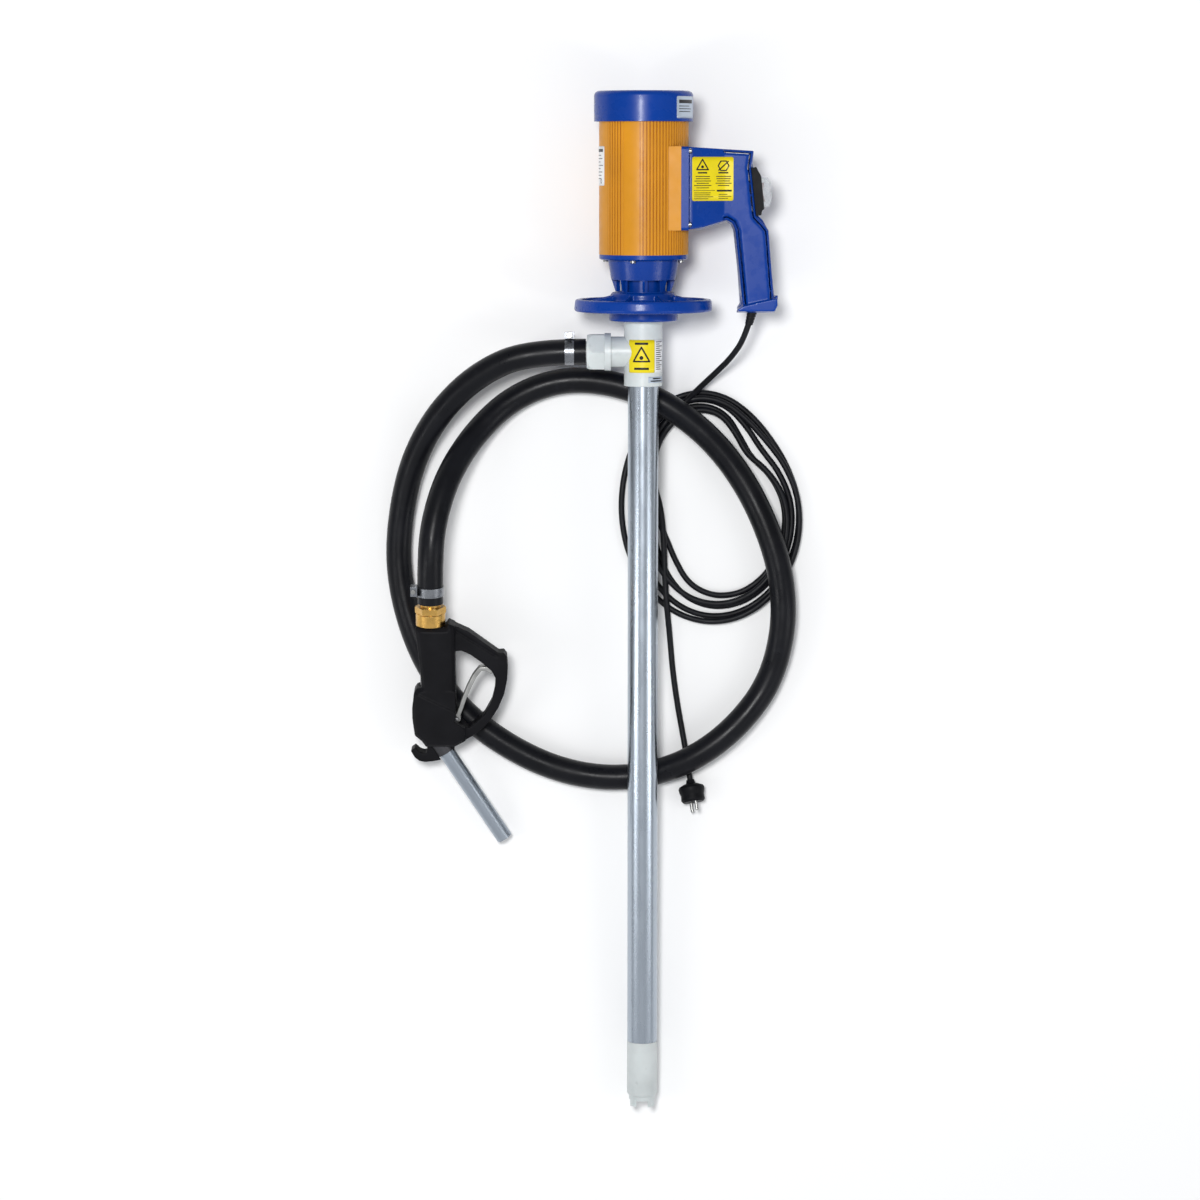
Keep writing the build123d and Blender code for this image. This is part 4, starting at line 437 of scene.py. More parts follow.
def drawn_aluminium(name, colour, along, low=0.24, high=0.31):
    """Drawn aluminium: fine lines along the tube, soft stains and small painted glints."""
    look = Look(name, metallic=1.0, roughness=0.28)

    def drawn_out(share):
        return tuple(share if axis == along else 1.0 for axis in range(3))

    lines = look.noise(1500.0, 3.0, drawn_out(0.012))
    stain = look.noise(22.0, 5.0, drawn_out(0.3))
    base = look.mixed(look.window(lines, 0.3, 0.7), shade(colour, 0.97), shade(colour, 1.03))
    base = look.mixed(look.window(stain, 0.45, 0.75, 0.0, 0.16), base, shade(colour, 0.75))
    # Painted glints: small bright specks in the colour.
    glint_speck = look.window(look.noise(240.0, 4.0), 0.70, 0.76, 0.0, 0.4)
    look.colour(look.mixed(glint_speck, base, shade(colour, 1.4)))
    look.roughness(look.noise(90.0, 3.0, drawn_out(0.2)), low, high)
    look.relief((lines, 0.0000012), soften=0.0003)
    return look.material


def grey_polypropylene(name, tint=1.0):
    """Milky grey polypropylene that lets a little light through, with a satin machined skin."""
    grey = colours().grey_plastic
    look = Look(
        name, roughness=0.38, Subsurface_Weight=0.35, Subsurface_Radius=(0.004, 0.005, 0.005),
        Subsurface_Scale=1.0, Transmission_Weight=0.06, Coat_Weight=0.12, Coat_Roughness=0.2,
    )
    base = mottled(look, 22.0, 4.0, grey, 0.92 * tint, 1.1 * tint)
    dirt = look.window(look.noise(70.0, 6.0), 0.62, 0.76, 0.0, 0.35)
    look.colour(look.mixed(dirt, base, shade(grey, 0.55 * tint)))
    look.roughness(look.noise(120.0, 4.0), 0.32, 0.48)
    look.relief((look.noise(800.0, 3.0), 0.00003), soften=0.0007)
    return look.material


def hose_rubber():
    """Black hose rubber with the faint weave of its wrapping cloth and a soft sheen."""
    look = Look(
        "hose_rubber", roughness=0.42, Sheen_Weight=0.02, Sheen_Roughness=0.4, Specular_IOR_Level=0.15
    )
    base = mottled(look, 12.0, 5.0, colours().rubber, 0.75, 1.5)
    bloom = look.window(look.noise(55.0, 6.0), 0.60, 0.78, 0.0, 0.35)
    look.colour(look.mixed(bloom, base, (0.020, 0.021, 0.025, 1)))
    look.roughness(look.noise(38.0, 5.0), 0.26, 0.42)
    weave = look.noise(620.0, 2.0)
    look.relief((weave, 0.00006), (look.noise(45.0, 3.0), 0.00035))
    return look.material


def cable_sheath():
    """Black cable sheath, finer and a little duller than the hose."""
    look = Look("cable_sheath", roughness=0.45, Specular_IOR_Level=0.18)
    look.colour(mottled(look, 60.0, 5.0, colours().rubber, 0.8, 1.8))
    look.roughness(look.noise(90.0, 4.0), 0.36, 0.55)
    look.relief((look.noise(1500.0, 2.0), 0.00003))
    return look.material


def black_moulding(name, grain, depth, low=0.38, high=0.55):
    """Black moulded plastic with a fine spark-eroded grain and greyer rubbed edges."""
    look = Look(name, roughness=0.45, Specular_IOR_Level=0.09)
    base = mottled(look, 30.0, 5.0, (0.0045, 0.0045, 0.0055), 1.0, 1.7)
    look.colour(look.mixed(look.times(look.edges(0.0012), 0.3), base, (0.028, 0.029, 0.033, 1)))
    look.roughness(look.noise(70.0, 4.0), low, high)
    look.relief((look.noise(grain, 2.0), depth), soften=0.0008)
    return look.material


def clear_cover():
    """Clear soft dust cover with light scratches."""
    look = Look("clear_cover", roughness=0.08, Transmission_Weight=0.75, IOR=1.45, Alpha=0.8)
    haze = look.window(look.noise(180.0, 5.0), 0.5, 0.8)
    look.colour(look.mixed(haze, (0.93, 0.95, 0.97, 1), (0.80, 0.84, 0.88, 1)))
    look.roughness(look.noise(90.0, 5.0), 0.05, 0.2)
    look.relief((look.noise(120.0, 3.0), 0.0001))
    return look.material


def plated_steel(name, colour, low, high):
    """Bright plated or stainless steel with fine turning marks."""
    look = Look(name, metallic=1.0, roughness=0.3)
    look.colour(mottled(look, 90.0, 5.0, colour, 0.75, 1.15))
    look.roughness(look.noise(300.0, 4.0), low, high)
    look.relief((look.noise(1400.0, 3.0), 0.00002), soften=0.0003)
    return look.material


def turned_brass():
    """Turned brass with fine tool lines, browner where it has tarnished."""
    look = Look("turned_brass", metallic=1.0, roughness=0.26)
    brass = colours().brass
    tarnish = look.window(look.noise(60.0, 4.0), 0.35, 0.75)
    base = look.mixed(tarnish, shade(brass, 1.1), shade(brass, 0.75))
    look.colour(look.mixed(look.times(look.edges(0.0008), 0.6), base, (0.95, 0.68, 0.30, 1)))
    look.roughness(look.noise(200.0, 5.0), 0.20, 0.38)
    look.relief((look.noise(1100.0, 2.0, (1.0, 6.0, 1.0)), 0.00002), soften=0.0005)
    return look.material


def cast_metal(name, colour):
    """Die-cast metal with a fine blasted skin."""
    look = Look(name, metallic=1.0, roughness=0.42)
    look.colour(mottled(look, 60.0, 5.0, colour, 0.8, 1.15))
    look.roughness(look.noise(150.0, 4.0), 0.34, 0.55)
    look.relief((look.noise(900.0, 4.0), 0.00006), soften=0.0005)
    return look.material


def wound_copper():
    """Varnished copper winding: fine parallel wires."""
    look = Look("wound_copper", metallic=0.85, roughness=0.35, Coat_Weight=0.4)
    wires = look.feed(look.node("ShaderNodeTexWave"), Vector=look.place, Scale=420.0, Distortion=0.6)
    look.colour(look.mixed(wires.outputs["Fac"], (0.20, 0.055, 0.02, 1), (0.72, 0.27, 0.10, 1)))
    look.roughness(look.noise(120.0), 0.28, 0.45)
    look.relief((wires.outputs["Fac"], 0.00015))
    return look.material


def soft_matt(name, colour, low, high):
    """Plain matt moulded or rubber part with a fine mottled skin."""
    look = Look(name, roughness=0.5)
    look.colour(mottled(look, 80.0, 5.0, colour, 0.8, 1.2))
    look.roughness(look.noise(110.0, 4.0), low, high)
    look.relief((look.noise(1000.0, 3.0), 0.00003), soften=0.0005)
    return look.material


def printed_film(name, colour, low=0.28, high=0.42, metallic=0.0):
    """Printed film with a slightly uneven gloss and small rubbed spots."""
    look = Look(
        name, roughness=0.35, metallic=metallic, Coat_Weight=0.08, Coat_Roughness=0.1, Specular_IOR_Level=0.3
    )
    base = mottled(look, 40.0, 4.0, colour, 0.93, 1.05)
    rub = look.window(look.noise(260.0, 5.0), 0.70, 0.78, 0.0, 0.4)
    look.colour(look.mixed(rub, base, shade(colour, 0.6)))
    look.roughness(look.noise(90.0, 3.0), low, high)
    look.relief((look.noise(70.0, 3.0), 0.00008))
    return look.material


def floor_paper():
    """Pale seamless studio floor with a barely visible tooth."""
    look = Look("studio_floor", roughness=0.85)
    tone = bpy.context.scene.pump_stage.floor_colour
    look.colour(look.mixed(look.noise(1.5, 3.0), shade(tone, 0.985), shade(tone, 1.01)))
    look.relief((look.noise(500.0, 2.0), 0.00005))
    return look.material


def finishes():
    """Every finish of the object, by its slot in the record or by its own name."""
    shared = bpy.context.scene.get("pump_finishes")
    if shared:
        return {slot: bpy.data.materials[name] for slot, name in shared.items()}
    tube = colours().tube
    steel = (0.55, 0.55, 0.56)
    made = {
        "blue_plastic": blue_plastic(),
        "orange_paint": orange_enamel(),
        "aluminium_tube": drawn_aluminium("drawn_tube", tube, 1),
        "spout_aluminium": drawn_aluminium("drawn_spout", shade(tube, 0.85)[:3], 1, 0.32, 0.42),
        "grey_polypropylene": grey_polypropylene("head_polypropylene"),
        "foot_polypropylene": grey_polypropylene("foot_polypropylene", 0.92),
        "black_rubber": hose_rubber(),
        "cable_rubber": cable_sheath(),
        "black_plastic": black_moulding("black_plastic", 900.0, 0.00004),
        "nozzle_plastic": black_moulding("nozzle_nylon", 650.0, 0.00008, 0.40, 0.58),
        "clear_plastic": clear_cover(),
        "red_plastic": soft_matt("rocker_red", (0.14, 0.008, 0.006), 0.25, 0.4),
        "zinc_steel": plated_steel("zinc_plate", (0.36, 0.36, 0.35), 0.25, 0.42),
        "clamp_steel": plated_steel("clamp_band_steel", (0.24, 0.25, 0.27), 0.22, 0.36),
        "lever_metal": cast_metal("lever_casting", (0.36, 0.36, 0.35)),
        "brass": turned_brass(),
        "stainless": plated_steel("ground_stainless", steel, 0.15, 0.30),
        "silicon_steel": plated_steel("laminated_steel", (0.25, 0.25, 0.27), 0.35, 0.55),
        "copper_winding": wound_copper(),
        "carbon": soft_matt("carbon_graphite", (0.03, 0.03, 0.03), 0.5, 0.7),
        "cast_aluminium": cast_metal("cast_aluminium", (0.07, 0.07, 0.075)),
        "seal_rubber": soft_matt("seal_rubber", (0.02, 0.02, 0.02), 0.45, 0.65),
        "bush_ptfe": soft_matt("bush_ptfe", (0.70, 0.70, 0.67), 0.35, 0.5),
        "yellow_film": printed_film("yellow_film", tuple(colours().label)),
        "white_film": printed_film("white_film", (0.78, 0.79, 0.80)),
        "silver_film": printed_film("silver_film", (0.48, 0.55, 0.64), 0.3, 0.45, 0.55),
        "ink": printed_film("black_ink", (0.012, 0.012, 0.014), 0.35, 0.5),
    }
    bpy.context.scene["pump_finishes"] = {slot: material.name for slot, material in made.items()}
    return made


def paint(*nodes):
    """Give carried-over frame pieces the finish of their slots."""
    ready = finishes()
    for name in nodes:
        piece = NODES[name]
        for holder in piece.material_slots:
            holder.material = ready[SLOTS[name]]


# ------------------------------------------------------------ making pieces


def add(name, mesh, material, body=BODY):
    """A new object in the scene that rides on a body."""
    piece = bpy.data.objects.new(name, mesh)
    bpy.context.scene.collection.objects.link(piece)
    if material:
        mesh.materials.clear()
        mesh.materials.append(material)
    if hasattr(mesh, "polygons"):
        mesh.polygons.foreach_set("use_smooth", [True] * len(mesh.polygons))
    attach(piece, body)
    return piece


def applied(piece):
    """The piece's mesh with its modifiers applied."""
    graph = bpy.context.evaluated_depsgraph_get()
    graph.update()
    return bpy.data.meshes.new_from_object(piece.evaluated_get(graph))


def back_up(mesh, outward):
    """Thickens a half-shell on its hidden inner side.

    The frame's handle shells are open along their bevelled edges. This narrows that gap in the moulding,
    and does not close it everywhere.
    """
    work = bmesh.new()
    work.from_mesh(mesh)
    bmesh.ops.remove_doubles(work, verts=work.verts, dist=MERGE_DISTANCE)
    work.normal_update()
    tree = BVHTree.FromBMesh(work)
    inner = [v for v in work.verts if tree.ray_cast(v.co + v.normal * OFF_SURFACE, Vector(outward))[0]]
    for vertex, shift in [(v, v.normal * BACKING_DEPTH) for v in inner]:
        vertex.co += shift
    work.to_mesh(mesh)
    work.free()


def moulded(name, node, voxel, passes, body=BODY, form=None, outward=None):
    """A frame piece grown again as one moulding with rounded edges, in place of its node."""
    source = NODES[node]
    rough = bpy.data.objects.new(name + "_rough", source.data.copy())
    if outward:
        back_up(rough.data, outward)
    bpy.context.scene.collection.objects.link(rough)
    remesh = rough.modifiers.new("skin", "REMESH")
    remesh.mode = "VOXEL"
    remesh.voxel_size = voxel
    rough.data = applied(rough)
    rough.modifiers.clear()
    for vertex in rough.data.vertices if form else ():
        vertex.co = form(vertex.co)
    rounding = rough.modifiers.new("rounding", "SMOOTH")
    rounding.factor = 0.5
    rounding.iterations = passes
    mesh = applied(rough)
    bpy.data.objects.remove(rough)
    piece = add(name, mesh, finishes()[SLOTS[node]], body)
    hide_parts(node)
    return piece


def eased(value, low, high):
    """0 below a range, 1 above it and a soft step between."""
    share = min(1.0, max(0.0, (value - low) / (high - low)))
    return share * share * (3 - 2 * share)


def nozzle_form(place):
    """Rounds the nozzle's flat sides, thickens it below its shoulder and sinks a groove in the guard."""
    x, y, z = (NOZZLE_INVERSE @ place) / MM
    side = math.copysign(1.0, y)
    depth = abs(y)
    if depth > COVER_FLAT:
        middle, half = (6.0, 30.0) if z > -88 else (7.0, 42.0)
        bulge = math.sqrt(max(0.0, 1 - ((x - middle) / half) ** 2))
        depth = COVER_FLAT + (depth - COVER_FLAT) * (0.30 + 0.75 * bulge)
        shoulder = -90.0 - 0.5 * (x + 20)
        depth += SHOULDER_RISE * eased(shoulder - z, 0.0, SOFT_EDGE)
    elif depth > GUARD_FLAT:
        along = GROOVE_END - GROOVE_START
        offset = Vector((x, z)) - GROOVE_START
        share = min(1.0, max(0.0, offset.dot(along) / along.length_squared))
        depth -= GROOVE_DEPTH * (1 - eased((offset - along * share).length, 1.0, SOFT_EDGE))
    return NOZZLE @ (Vector((x, side * depth, z)) * MM)


def curve_piece(name, points, diameter, material):
    """A smooth cord on control points, as a curve with a round section."""
    curve = bpy.data.curves.new(name, "CURVE")
    curve.dimensions = "3D"
    curve.bevel_depth = diameter / 2
    curve.bevel_resolution = 8
    curve.resolution_u = 10
    curve.use_fill_caps = True
    spline = curve.splines.new("NURBS")
    spline.points.add(len(points) - 1)
    for point, place in zip(spline.points, points):
        point.co = (*place, 1.0)
    spline.order_u = 3
    spline.use_endpoint_u = True
    spline.use_smooth = True
    curve.materials.append(material)
    return add(name, curve, None)


# ------------------------------------------------------------ cable coil


def bumped(level, turn, bumps):
    """A level with smooth bumps round some angles in degrees."""
    for middle, half_width, height in bumps:
        away = (turn - middle + 180) % 360 - 180
        level += height * math.exp(-((away / half_width) ** 2))
    return level


def coil_outline(turn, centre, half):
    """A point of the coil's outer outline at an angle in degrees, and the direction towards its middle."""
    factor = bumped(1.0, turn, OUTLINE_BUMPS)
    angle = math.radians(turn)
    place = Vector((half[0] * math.cos(angle), half[1] * math.sin(angle))) * factor
    inward = Vector((-math.cos(angle) / half[0], -math.sin(angle) / half[1])).normalized()
    return Vector(centre) + place, inward


def coil_points():
    """The coil's turns: in over the top, outwards on the floor, then back inwards on a second layer."""
    given = sizes()
    radius = given.cable_diameter / 2
    floor_level = radius + 0.0002
    second = floor_level + given.cable_diameter * 1.01
    points = []
    steps = round(COIL_TURNS * given.points_per_turn)
    for index in range(1, steps):
        progress = index * COIL_TURNS / steps
        turn = (COIL_START + progress * 360) % 360
        if progress < 0.25:
            share = progress / 0.25
            lane = 1.6 + 0.9 * share
            height = COIL_ENTRY_HEIGHT - (COIL_ENTRY_HEIGHT - floor_level) * share
        elif progress < 3.25:
            lane, height = 2.5 - (progress - 0.25), floor_level
        elif progress < 3.5:
            lane = -0.5 + 0.3 * (progress - 3.25) / 0.25
            height = floor_level + (second - floor_level) * eased(progress, 3.25, 3.5)
        else:
            lane, height = -0.2 + (progress - 3.5) * 1.78, second
        wander = 0.16 * math.sin(math.radians(turn * 2 + 77 * int(progress)))
        width = bumped(LANE_WIDTH, turn, LANE_BUMPS)
        loose = (width - TIGHT_LANE) / TIGHT_LANE
        outline, inward = coil_outline(turn, given.coil_centre, given.coil_half_sizes)
        offset = radius + max(lane + wander * loose, -0.45) * width
        place = outline + inward * offset
        points.append((place.x, place.y, height))
    return points


# ------------------------------------------------------------ labels


class Film:
    """Printed film on a surface: shapes in label millimetres, wrapped by a function of (u, v, lift)."""

    def __init__(self, wrap, ink_lift=INK_LIFT):
        self.wrap = wrap
        self.lift = ink_lift
        self.mesh = bmesh.new()

    def strip(self, start, end, width, pieces=6, over=0.0):
        """A straight printed band between two points."""
        a, b = Vector(start), Vector(end)
        side = (b - a).normalized().orthogonal() * width / 2
        rows = []
        for index in range(pieces + 1):
            middle = a.lerp(b, index / pieces)
            corners = [self.wrap(*(middle + side * s), self.lift + over) for s in (1, -1)]
            rows.append([self.mesh.verts.new(corner) for corner in corners])
        for (a0, a1), (b0, b1) in zip(rows, rows[1:]):
            self.mesh.faces.new((a0, a1, b1, b0)).material_index = INK

    def sheet(self, width, height, corner, columns=28):
        """The film itself, a rectangle with rounded corners."""
        rows = []
        for index in range(columns + 1):
            u = -width / 2 + width * (0.5 - 0.5 * math.cos(math.pi * index / columns))
            over = max(0.0, abs(u) - (width / 2 - corner))
            reach = height / 2 - corner + math.sqrt(max(0.0, corner**2 - over**2))
            places = [(-1 + 2 * step / 8) * reach for step in range(9)]
            rows.append([self.mesh.verts.new(self.wrap(u, v, FILM_LIFT)) for v in places])
        for left, right in zip(rows, rows[1:]):
            for (a, b), (c, d) in zip(zip(left, left[1:]), zip(right, right[1:])):
                self.mesh.faces.new((a, c, d, b))

    def around(self, centre, radius, count, turn=0.0):
        """Evenly spaced places on a circle."""
        angles = [math.radians(turn + index * 360 / count) for index in range(count)]
        return [Vector(centre) + Vector((math.cos(a), math.sin(a))) * radius for a in angles]

    def outline(self, centre, radius, corners, width, turn=90.0):
        """A regular polygon drawn as a line."""
        places = self.around(centre, radius, corners, turn)
        for a, b in zip(places, places[1:] + places[:1]):
            along = (b - a).normalized() * width / 2
            self.strip(a - along * 0.6, b + along * 0.6, width, 5)

    def dot(self, centre, radius):
        """A filled disc."""
        hub = self.mesh.verts.new(self.wrap(*centre, self.lift))
        rim = [self.mesh.verts.new(self.wrap(*place, self.lift)) for place in self.around(centre, radius, 20)]
        for a, b in zip(rim, rim[1:] + rim[:1]):
            self.mesh.faces.new((hub, a, b)).material_index = INK

    def bars(self, left, right, top, count, pitch, width, ragged=0.3, centred=True):
        """Rows of plain bars of uneven length that stand for small print."""
        for index in range(count):
            cut = (right - left) * ragged * (0.5 + 0.5 * math.sin(index * 2.7 + left)) / 2
            v = top - index * pitch
            start = left + (cut if centred else 0)
            self.strip((start, v), (right - (cut if centred else 2 * cut), v), width, 4)

    def finish(self, name, materials, thickness):
        """Close the film into a thin solid and put it on the pump."""
        bmesh.ops.recalc_face_normals(self.mesh, faces=self.mesh.faces)
        mesh = bpy.data.meshes.new(name)
        self.mesh.to_mesh(mesh)
        self.mesh.free()
        piece = add(name, mesh, None)
        for material in materials:
            mesh.materials.append(finishes()[material])
        solid = piece.modifiers.new("thickness", "SOLIDIFY")
        solid.thickness = thickness
        solid.offset = 0
        piece.data = applied(piece)
        piece.modifiers.clear()
        return piece


def round_wrap(radius, middle_turn, middle_height):
    """Wrap for film on a cylinder about the pump's axis, angles from the upper side towards +X."""
    def wrap(u, v, lift):
        turn = math.radians(middle_turn) + u / radius
        reach = radius + lift
        return pump_point(reach * math.sin(turn), -reach * math.cos(turn), middle_height + v)
    return wrap


def laid_wrap(piece, middle_x, middle_height):
    """Wrap for film laid straight down on a piece, placed in the pump's own millimetres."""
    tree = BVHTree.FromPolygons(
        [vertex.co for vertex in piece.data.vertices], [face.vertices for face in piece.data.polygons]
    )
    down = (PUMP.to_3x3() @ Vector((0, 1, 0))).normalized()

    def wrap(u, v, lift):
        start = pump_point(middle_x + u, -90, middle_height + v)
        hit, normal, _, _ = tree.ray_cast(start, down)
        if hit is None:
            raise RuntimeError("a label reaches past the piece that it lies on")
        return hit - down * lift * MM
    return wrap


# ------------------------------------------------------------ operators


class PUMP_OT_stage(bpy.types.Operator):
    """Camera, floor and soft studio light"""

    bl_idname = "pump.stage"
    bl_label = "Stage"

    def execute(self, context):
        given = context.scene.pump_stage
        camera = bpy.data.objects.new("camera", bpy.data.cameras.new("camera"))
        context.scene.collection.objects.link(camera)
        back = Vector(given.camera_place) - Vector(given.camera_target)
        camera.matrix_world = Matrix.Translation(given.camera_place) @ joint_frame((0, 0, 0), back, (1, 0, 0))
        camera.data.lens = given.lens
        camera.data.sensor_width = 36.0
        camera.data.clip_end = 60.0
        context.scene.camera = camera
        self.floor()
        self.lights(context, given)
        context.scene.view_settings.view_transform = "Standard"
        return {"FINISHED"}

    def floor(self):
        """A wide pale sheet that lies just below the object."""
        mesh = bpy.data.meshes.new("floor")
        corners = [(x * FLOOR_HALF, y * FLOOR_HALF, 0) for x, y in ((-1, -1), (1, -1), (1, 1), (-1, 1))]
        mesh.from_pydata(corners, [], [(0, 1, 2, 3)])
        mesh.materials.append(floor_paper())
        floor = bpy.data.objects.new("floor", mesh)
        floor.location.z = -FLOOR_DROP
        bpy.context.scene.collection.objects.link(floor)

    def lights(self, context, given):
        """One broad key above, two side lights and a surround that is stronger at the foot's end."""
        world = bpy.data.worlds.new("surround")
        world.use_nodes = True
        tree = world.node_tree
        background = tree.nodes["Background"]
        background.inputs["Color"].default_value = (0.95, 0.97, 1.0, 1)
        place, split, fade = (
            tree.nodes.new("ShaderNode" + kind) for kind in ("TexCoord", "SeparateXYZ", "MapRange")
        )
        tree.links.new(place.outputs["Generated"], split.inputs["Vector"])
        tree.links.new(split.outputs["Y"], fade.inputs["Value"])
        tree.links.new(fade.outputs["Result"], background.inputs["Strength"])
        for name, value in (
            ("From Min", FADE_FROM), ("From Max", FADE_TO),
            ("To Min", given.ambient), ("To Max", given.ambient_far),
        ):
            fade.inputs[name].default_value = value
        context.scene.world = world
        middle = Vector(given.camera_target)
        for name, spot, size, power in (
            ("key", (-0.42, 0.80, 4.3), (0.75, 0.75), given.key_power),
            ("side_right", (2.6, -0.7, 2.2), (0.35, 1.8), given.fill_power),
            ("side_left", (-2.6, -0.7, 2.2), (0.25, 1.8), given.fill_power),
        ):
            data = bpy.data.lights.new(name, "AREA")
            data.shape = "RECTANGLE"
            data.size, data.size_y = size
            data.energy = power
            light = bpy.data.objects.new(name, data)
            light.location = spot
            light.rotation_euler = (middle - Vector(spot)).to_track_quat("-Z", "Y").to_euler()
            context.scene.collection.objects.link(light)


class PUMP_OT_hose(bpy.types.Operator):
    """Discharge hose on its real route, with plain square-cut ends"""

    bl_idname = "pump.hose"
    bl_label = "Discharge hose"

    def execute(self, context):
        given = sizes()
        hose = curve_piece(
            "rubber_hose", HOSE_ROUTE, given.hose_diameter, finishes()["black_rubber"]
        )
        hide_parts("discharge_hose")
        return {"FINISHED"}


class PUMP_OT_cable(bpy.types.Operator):
    """Mains cable: lead, loose coil and tail in one cord, with its plug"""

    bl_idname = "pump.cable"
    bl_label = "Mains cable"

    def execute(self, context):
        given = sizes()
        points = LEAD_ROUTE + coil_points() + TAIL_ROUTE
        cable = curve_piece(
            "mains_cable", points, given.cable_diameter, finishes()["cable_rubber"]
        )
        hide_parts("mains_lead", "mains_coil", "mains_tail")
        paint("plug_body", "plug_pins", "cable_bush")
        return {"FINISHED"}


class PUMP_OT_tube(bpy.types.Operator):
    """Immersion tube, foot, head and union nut"""

    bl_idname = "pump.tube"
    bl_label = "Tube and head"

    def execute(self, context):
        paint("outer_tube", "pump_foot", "pump_head", "union_nut", "hose_tail", "union_gasket")
        return {"FINISHED"}


class PUMP_OT_motor(bpy.types.Operator):
    """Motor barrel, end bell, fan cap and their screws"""

    bl_idname = "pump.motor"
    bl_label = "Motor"

    def execute(self, context):
        paint("motor_barrel", "end_bell", "fan_cap", "end_bell_screws", "fan_cap_screws")
        return {"FINISHED"}


class PUMP_OT_wheel(bpy.types.Operator):
    """Hand wheel as one glossy moulding"""

    bl_idname = "pump.wheel"
    bl_label = "Hand wheel"

    def execute(self, context):
        moulded("wheel_moulding", "hand_wheel", 0.0011, 6, "wheel")
        paint("thrust_ring")
        return {"FINISHED"}


class PUMP_OT_handle(bpy.types.Operator):
    """Handle shells as rounded mouldings, with the flange, switch and cover"""

    bl_idname = "pump.handle"
    bl_label = "Handle"

    def execute(self, context):
        moulded("handle_upper_shell", "handle_shell", 0.0008, 9, outward=(0, 0, 1))
        moulded("handle_lower_shell", "handle_back_cover", 0.0008, 9, outward=(0, 0, -1))
        paint("handle_frame", "handle_screws", "switch_frame", "switch_rocker", "switch_cover")
        return {"FINISHED"}


class PUMP_OT_nozzle(bpy.types.Operator):
    """Trigger nozzle: soft-edged cover, lever, spout and brass inlet"""

    bl_idname = "pump.nozzle"
    bl_label = "Nozzle"

    def execute(self, context):
        moulded("nozzle_moulding", "nozzle_cover", 0.0009, 7, form=nozzle_form)
        moulded("trigger_lever", "nozzle_lever", 0.0006, 4, "lever")
        paint("valve_body", "spout", "lever_pin", "valve_stem", "valve_spring")
        paint("brass_ring", "brass_hose_tail")
        return {"FINISHED"}


class PUMP_OT_clamps(bpy.types.Operator):
    """Worm-drive clamps on both hose ends"""

    bl_idname = "pump.clamps"
    bl_label = "Hose clamps"

    def execute(self, context):
        paint("outlet_clamp", "nozzle_clamp", "clamp_screws")
        return {"FINISHED"}


class PUMP_OT_inside(bpy.types.Operator):
    """Finishes of everything inside the motor, the tube and the head"""

    bl_idname = "pump.inside"
    bl_label = "Inner pieces"

    def execute(self, context):
        paint(
            "foot_o_ring", "foot_bush", "inner_tube", "tube_bearings", "drive_shaft", "impeller",
            "shaft_seal", "seal_cover", "upper_bearing_bracket", "motor_bearings", "stator_core",
            "field_coils", "armature_core", "armature_windings", "commutator", "carbon_brushes",
            "brush_holders", "motor_shaft", "cooling_fan",
        )
        return {"FINISHED"}


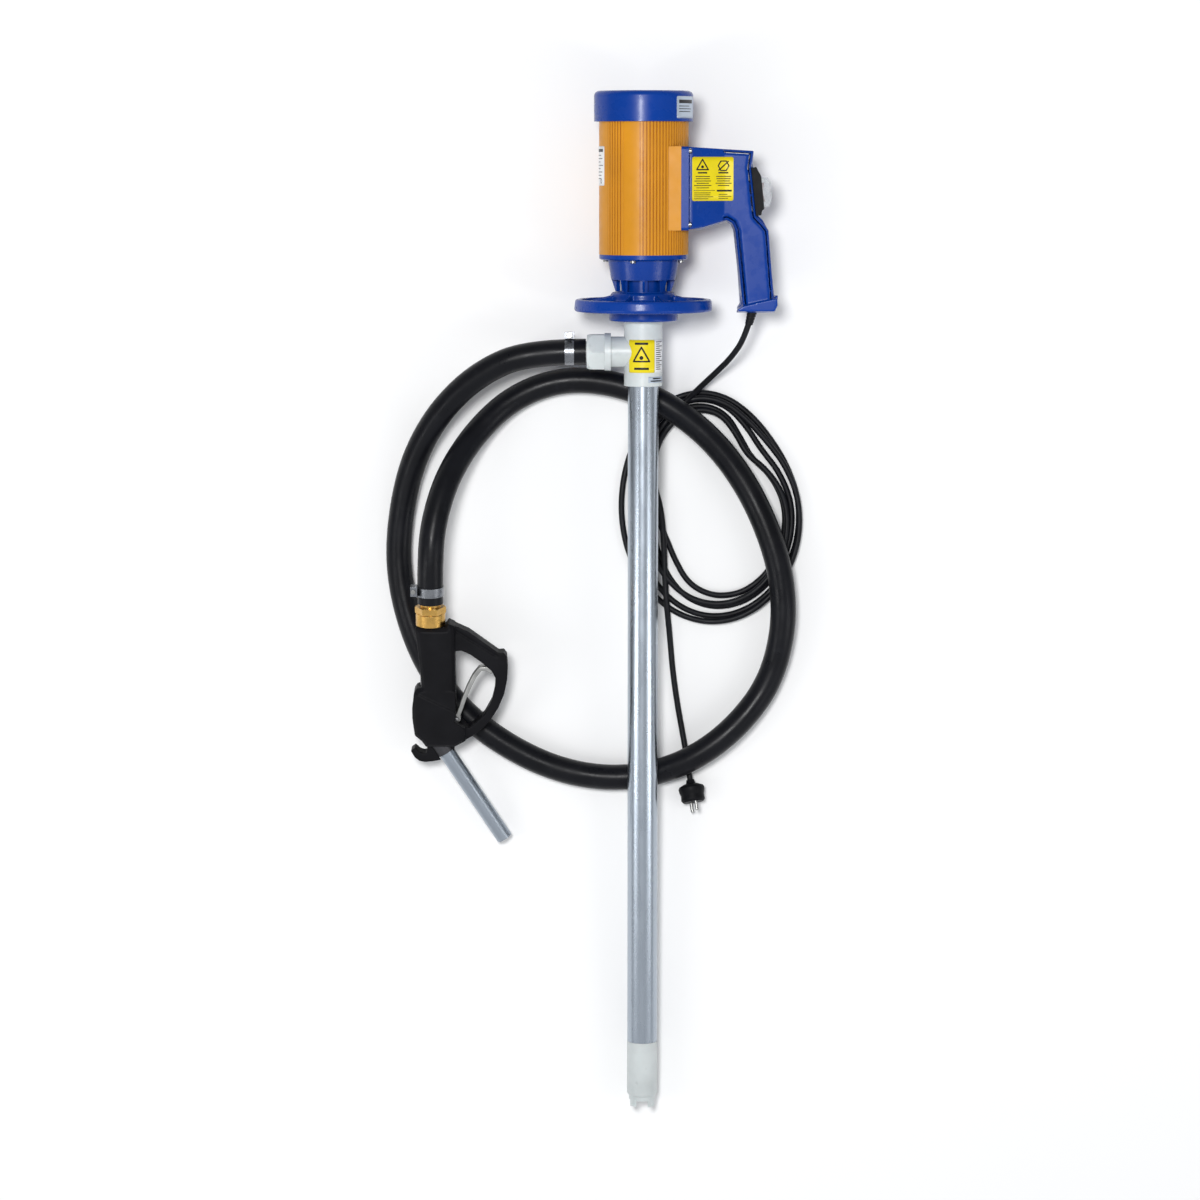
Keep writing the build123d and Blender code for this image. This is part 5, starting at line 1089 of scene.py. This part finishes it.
class PUMP_OT_labels(bpy.types.Operator):
    """Plain printed labels with generic signs and bars"""

    bl_idname = "pump.labels"
    bl_label = "Labels"

    def execute(self, context):
        thickness = sizes().label_thickness
        self.handle_label(thickness)
        self.head_labels(thickness)
        self.cap_label(thickness)
        self.rating_plate(thickness)
        return {"FINISHED"}

    def handle_label(self, thickness):
        """Yellow film on the handle's housing: two signs over blocks of bars."""
        shell = bpy.data.objects["handle_upper_shell"]
        film = Film(laid_wrap(shell, 91.5, 1267.5), ink_lift=0.32)
        film.sheet(55.5, 58, 2.5)
        film.outline((-13.8, 16.6), 9.0, 3, 1.7)
        film.dot((-13.8, 15.8), 1.9)
        film.outline((14.5, 17.2), 7.2, 6, 1.5, turn=0.0)
        film.strip((7.8, 11.0), (21.2, 23.4), 1.6, over=0.02)
        for left, right in ((-20.0, -7.5), (7.5, 21.0)):
            film.strip((left, 8.0), (right, 8.0), 1.9, 4)
        film.bars(-25.0, -1.8, 3.2, 6, 3.0, 1.0)
        film.bars(3.5, 25.5, 3.2, 5, 3.0, 1.0)
        film.strip((-25.5, -15.2), (3.0, -15.2), 0.6)
        film.strip((5.5, -15.6), (25.5, -15.6), 2.4)
        film.bars(-25.0, 2.0, -18.4, 4, 2.6, 0.8, centred=False)
        film.bars(8.0, 25.0, -20.5, 3, 2.6, 0.8, centred=False)
        film.finish("handle_label", ["yellow_film", "ink"], thickness)

    def head_labels(self, thickness):
        """Yellow sign, white strip of bars and a small silver tag round the pump head."""
        radius = 25.75
        film = Film(round_wrap(radius, -6, 1032))
        film.sheet(37, 44, 1.5)
        film.outline((0, -0.5), 12.6, 3, 2.2)
        film.dot((0, -2.0), 2.6)
        film.strip((-9, 17.0), (9, 17.0), 3.0, 8)
        film.strip((-10, -16.5), (10, -16.5), 3.0, 8)
        film.finish("head_sign", ["yellow_film", "ink"], thickness)
        strip = Film(round_wrap(radius, 56, 1032))
        strip.sheet(17, 44, 1.0)
        strip.bars(-7, 7, 19, 14, 2.8, 1.1, ragged=0.5, centred=False)
        strip.finish("head_notes", ["white_film", "ink"], thickness)
        tag = Film(round_wrap(radius, 46, 1000.5))
        tag.sheet(28, 8, 0.8)
        tag.bars(-11, 11, 1.8, 2, 3.4, 1.8)
        tag.finish("head_tag", ["silver_film", "ink"], thickness)

    def cap_label(self, thickness):
        """Silver film round the fan cap's right front."""
        film = Film(round_wrap(66.0, 60, 1361.5))
        film.sheet(44, 29, 1.5)
        film.strip((-18, 7.5), (16, 7.5), 4.6, 16)
        film.bars(-18, 14, 1.5, 3, 3.6, 1.0, centred=False)
        film.finish("cap_label", ["silver_film", "ink"], thickness)

    def rating_plate(self, thickness):
        """White rating plate on the barrel's smooth left band."""
        film = Film(round_wrap(59.3, -81, 1284.5))
        film.sheet(40, 52, 1.5)
        film.strip((-16, 20.5), (16, 20.5), 4.0, 14)
        film.bars(-16, 16, 14, 8, 4.4, 0.9, centred=False)
        film.outline((10, -20), 3.2, 4, 0.7)
        film.finish("rating_plate", ["white_film", "ink"], thickness)


class PUMP_PT_panel(bpy.types.Panel):
    """Lists the pump's pieces in the sidebar"""

    bl_idname = "PUMP_PT_panel"
    bl_label = "Drum barrel pump"
    bl_space_type = "VIEW_3D"
    bl_region_type = "UI"
    bl_category = "Barrel pump"

    def draw(self, context):
        for group in ("pump_sizes", "pump_colours", "pump_stage"):
            settings = getattr(context.scene, group)
            for name in settings.bl_rna.properties.keys():
                if name not in ("rna_type", "name"):
                    self.layout.prop(settings, name)
        for operator in OPERATORS:
            self.layout.operator(operator.bl_idname)


OPERATORS = (
    PUMP_OT_stage, PUMP_OT_hose, PUMP_OT_cable, PUMP_OT_tube, PUMP_OT_motor, PUMP_OT_wheel, PUMP_OT_handle,
    PUMP_OT_nozzle, PUMP_OT_clamps, PUMP_OT_inside, PUMP_OT_labels,
)
GROUPS = (("pump_sizes", PumpSizes), ("pump_colours", PumpColours), ("pump_stage", PumpStage))


def register():
    """Make the settings, the operators and the panel known to Blender."""
    for name, group in GROUPS:
        bpy.utils.register_class(group)
        setattr(bpy.types.Scene, name, PointerProperty(type=group))
    for operator in OPERATORS:
        bpy.utils.register_class(operator)
    bpy.utils.register_class(PUMP_PT_panel)


def unregister():
    """Take them away again, last first."""
    bpy.utils.unregister_class(PUMP_PT_panel)
    for operator in reversed(OPERATORS):
        bpy.utils.unregister_class(operator)
    for name, group in reversed(GROUPS):
        delattr(bpy.types.Scene, name)
        bpy.utils.unregister_class(group)


def main():
    """Build the stage and every piece."""
    register()
    bpy.ops.pump.stage()
    bpy.ops.pump.hose()
    bpy.ops.pump.cable()
    bpy.ops.pump.tube()
    bpy.ops.pump.motor()
    bpy.ops.pump.wheel()
    bpy.ops.pump.handle()
    bpy.ops.pump.nozzle()
    bpy.ops.pump.clamps()
    bpy.ops.pump.inside()
    bpy.ops.pump.labels()


if __name__ == "__main__":
    main()
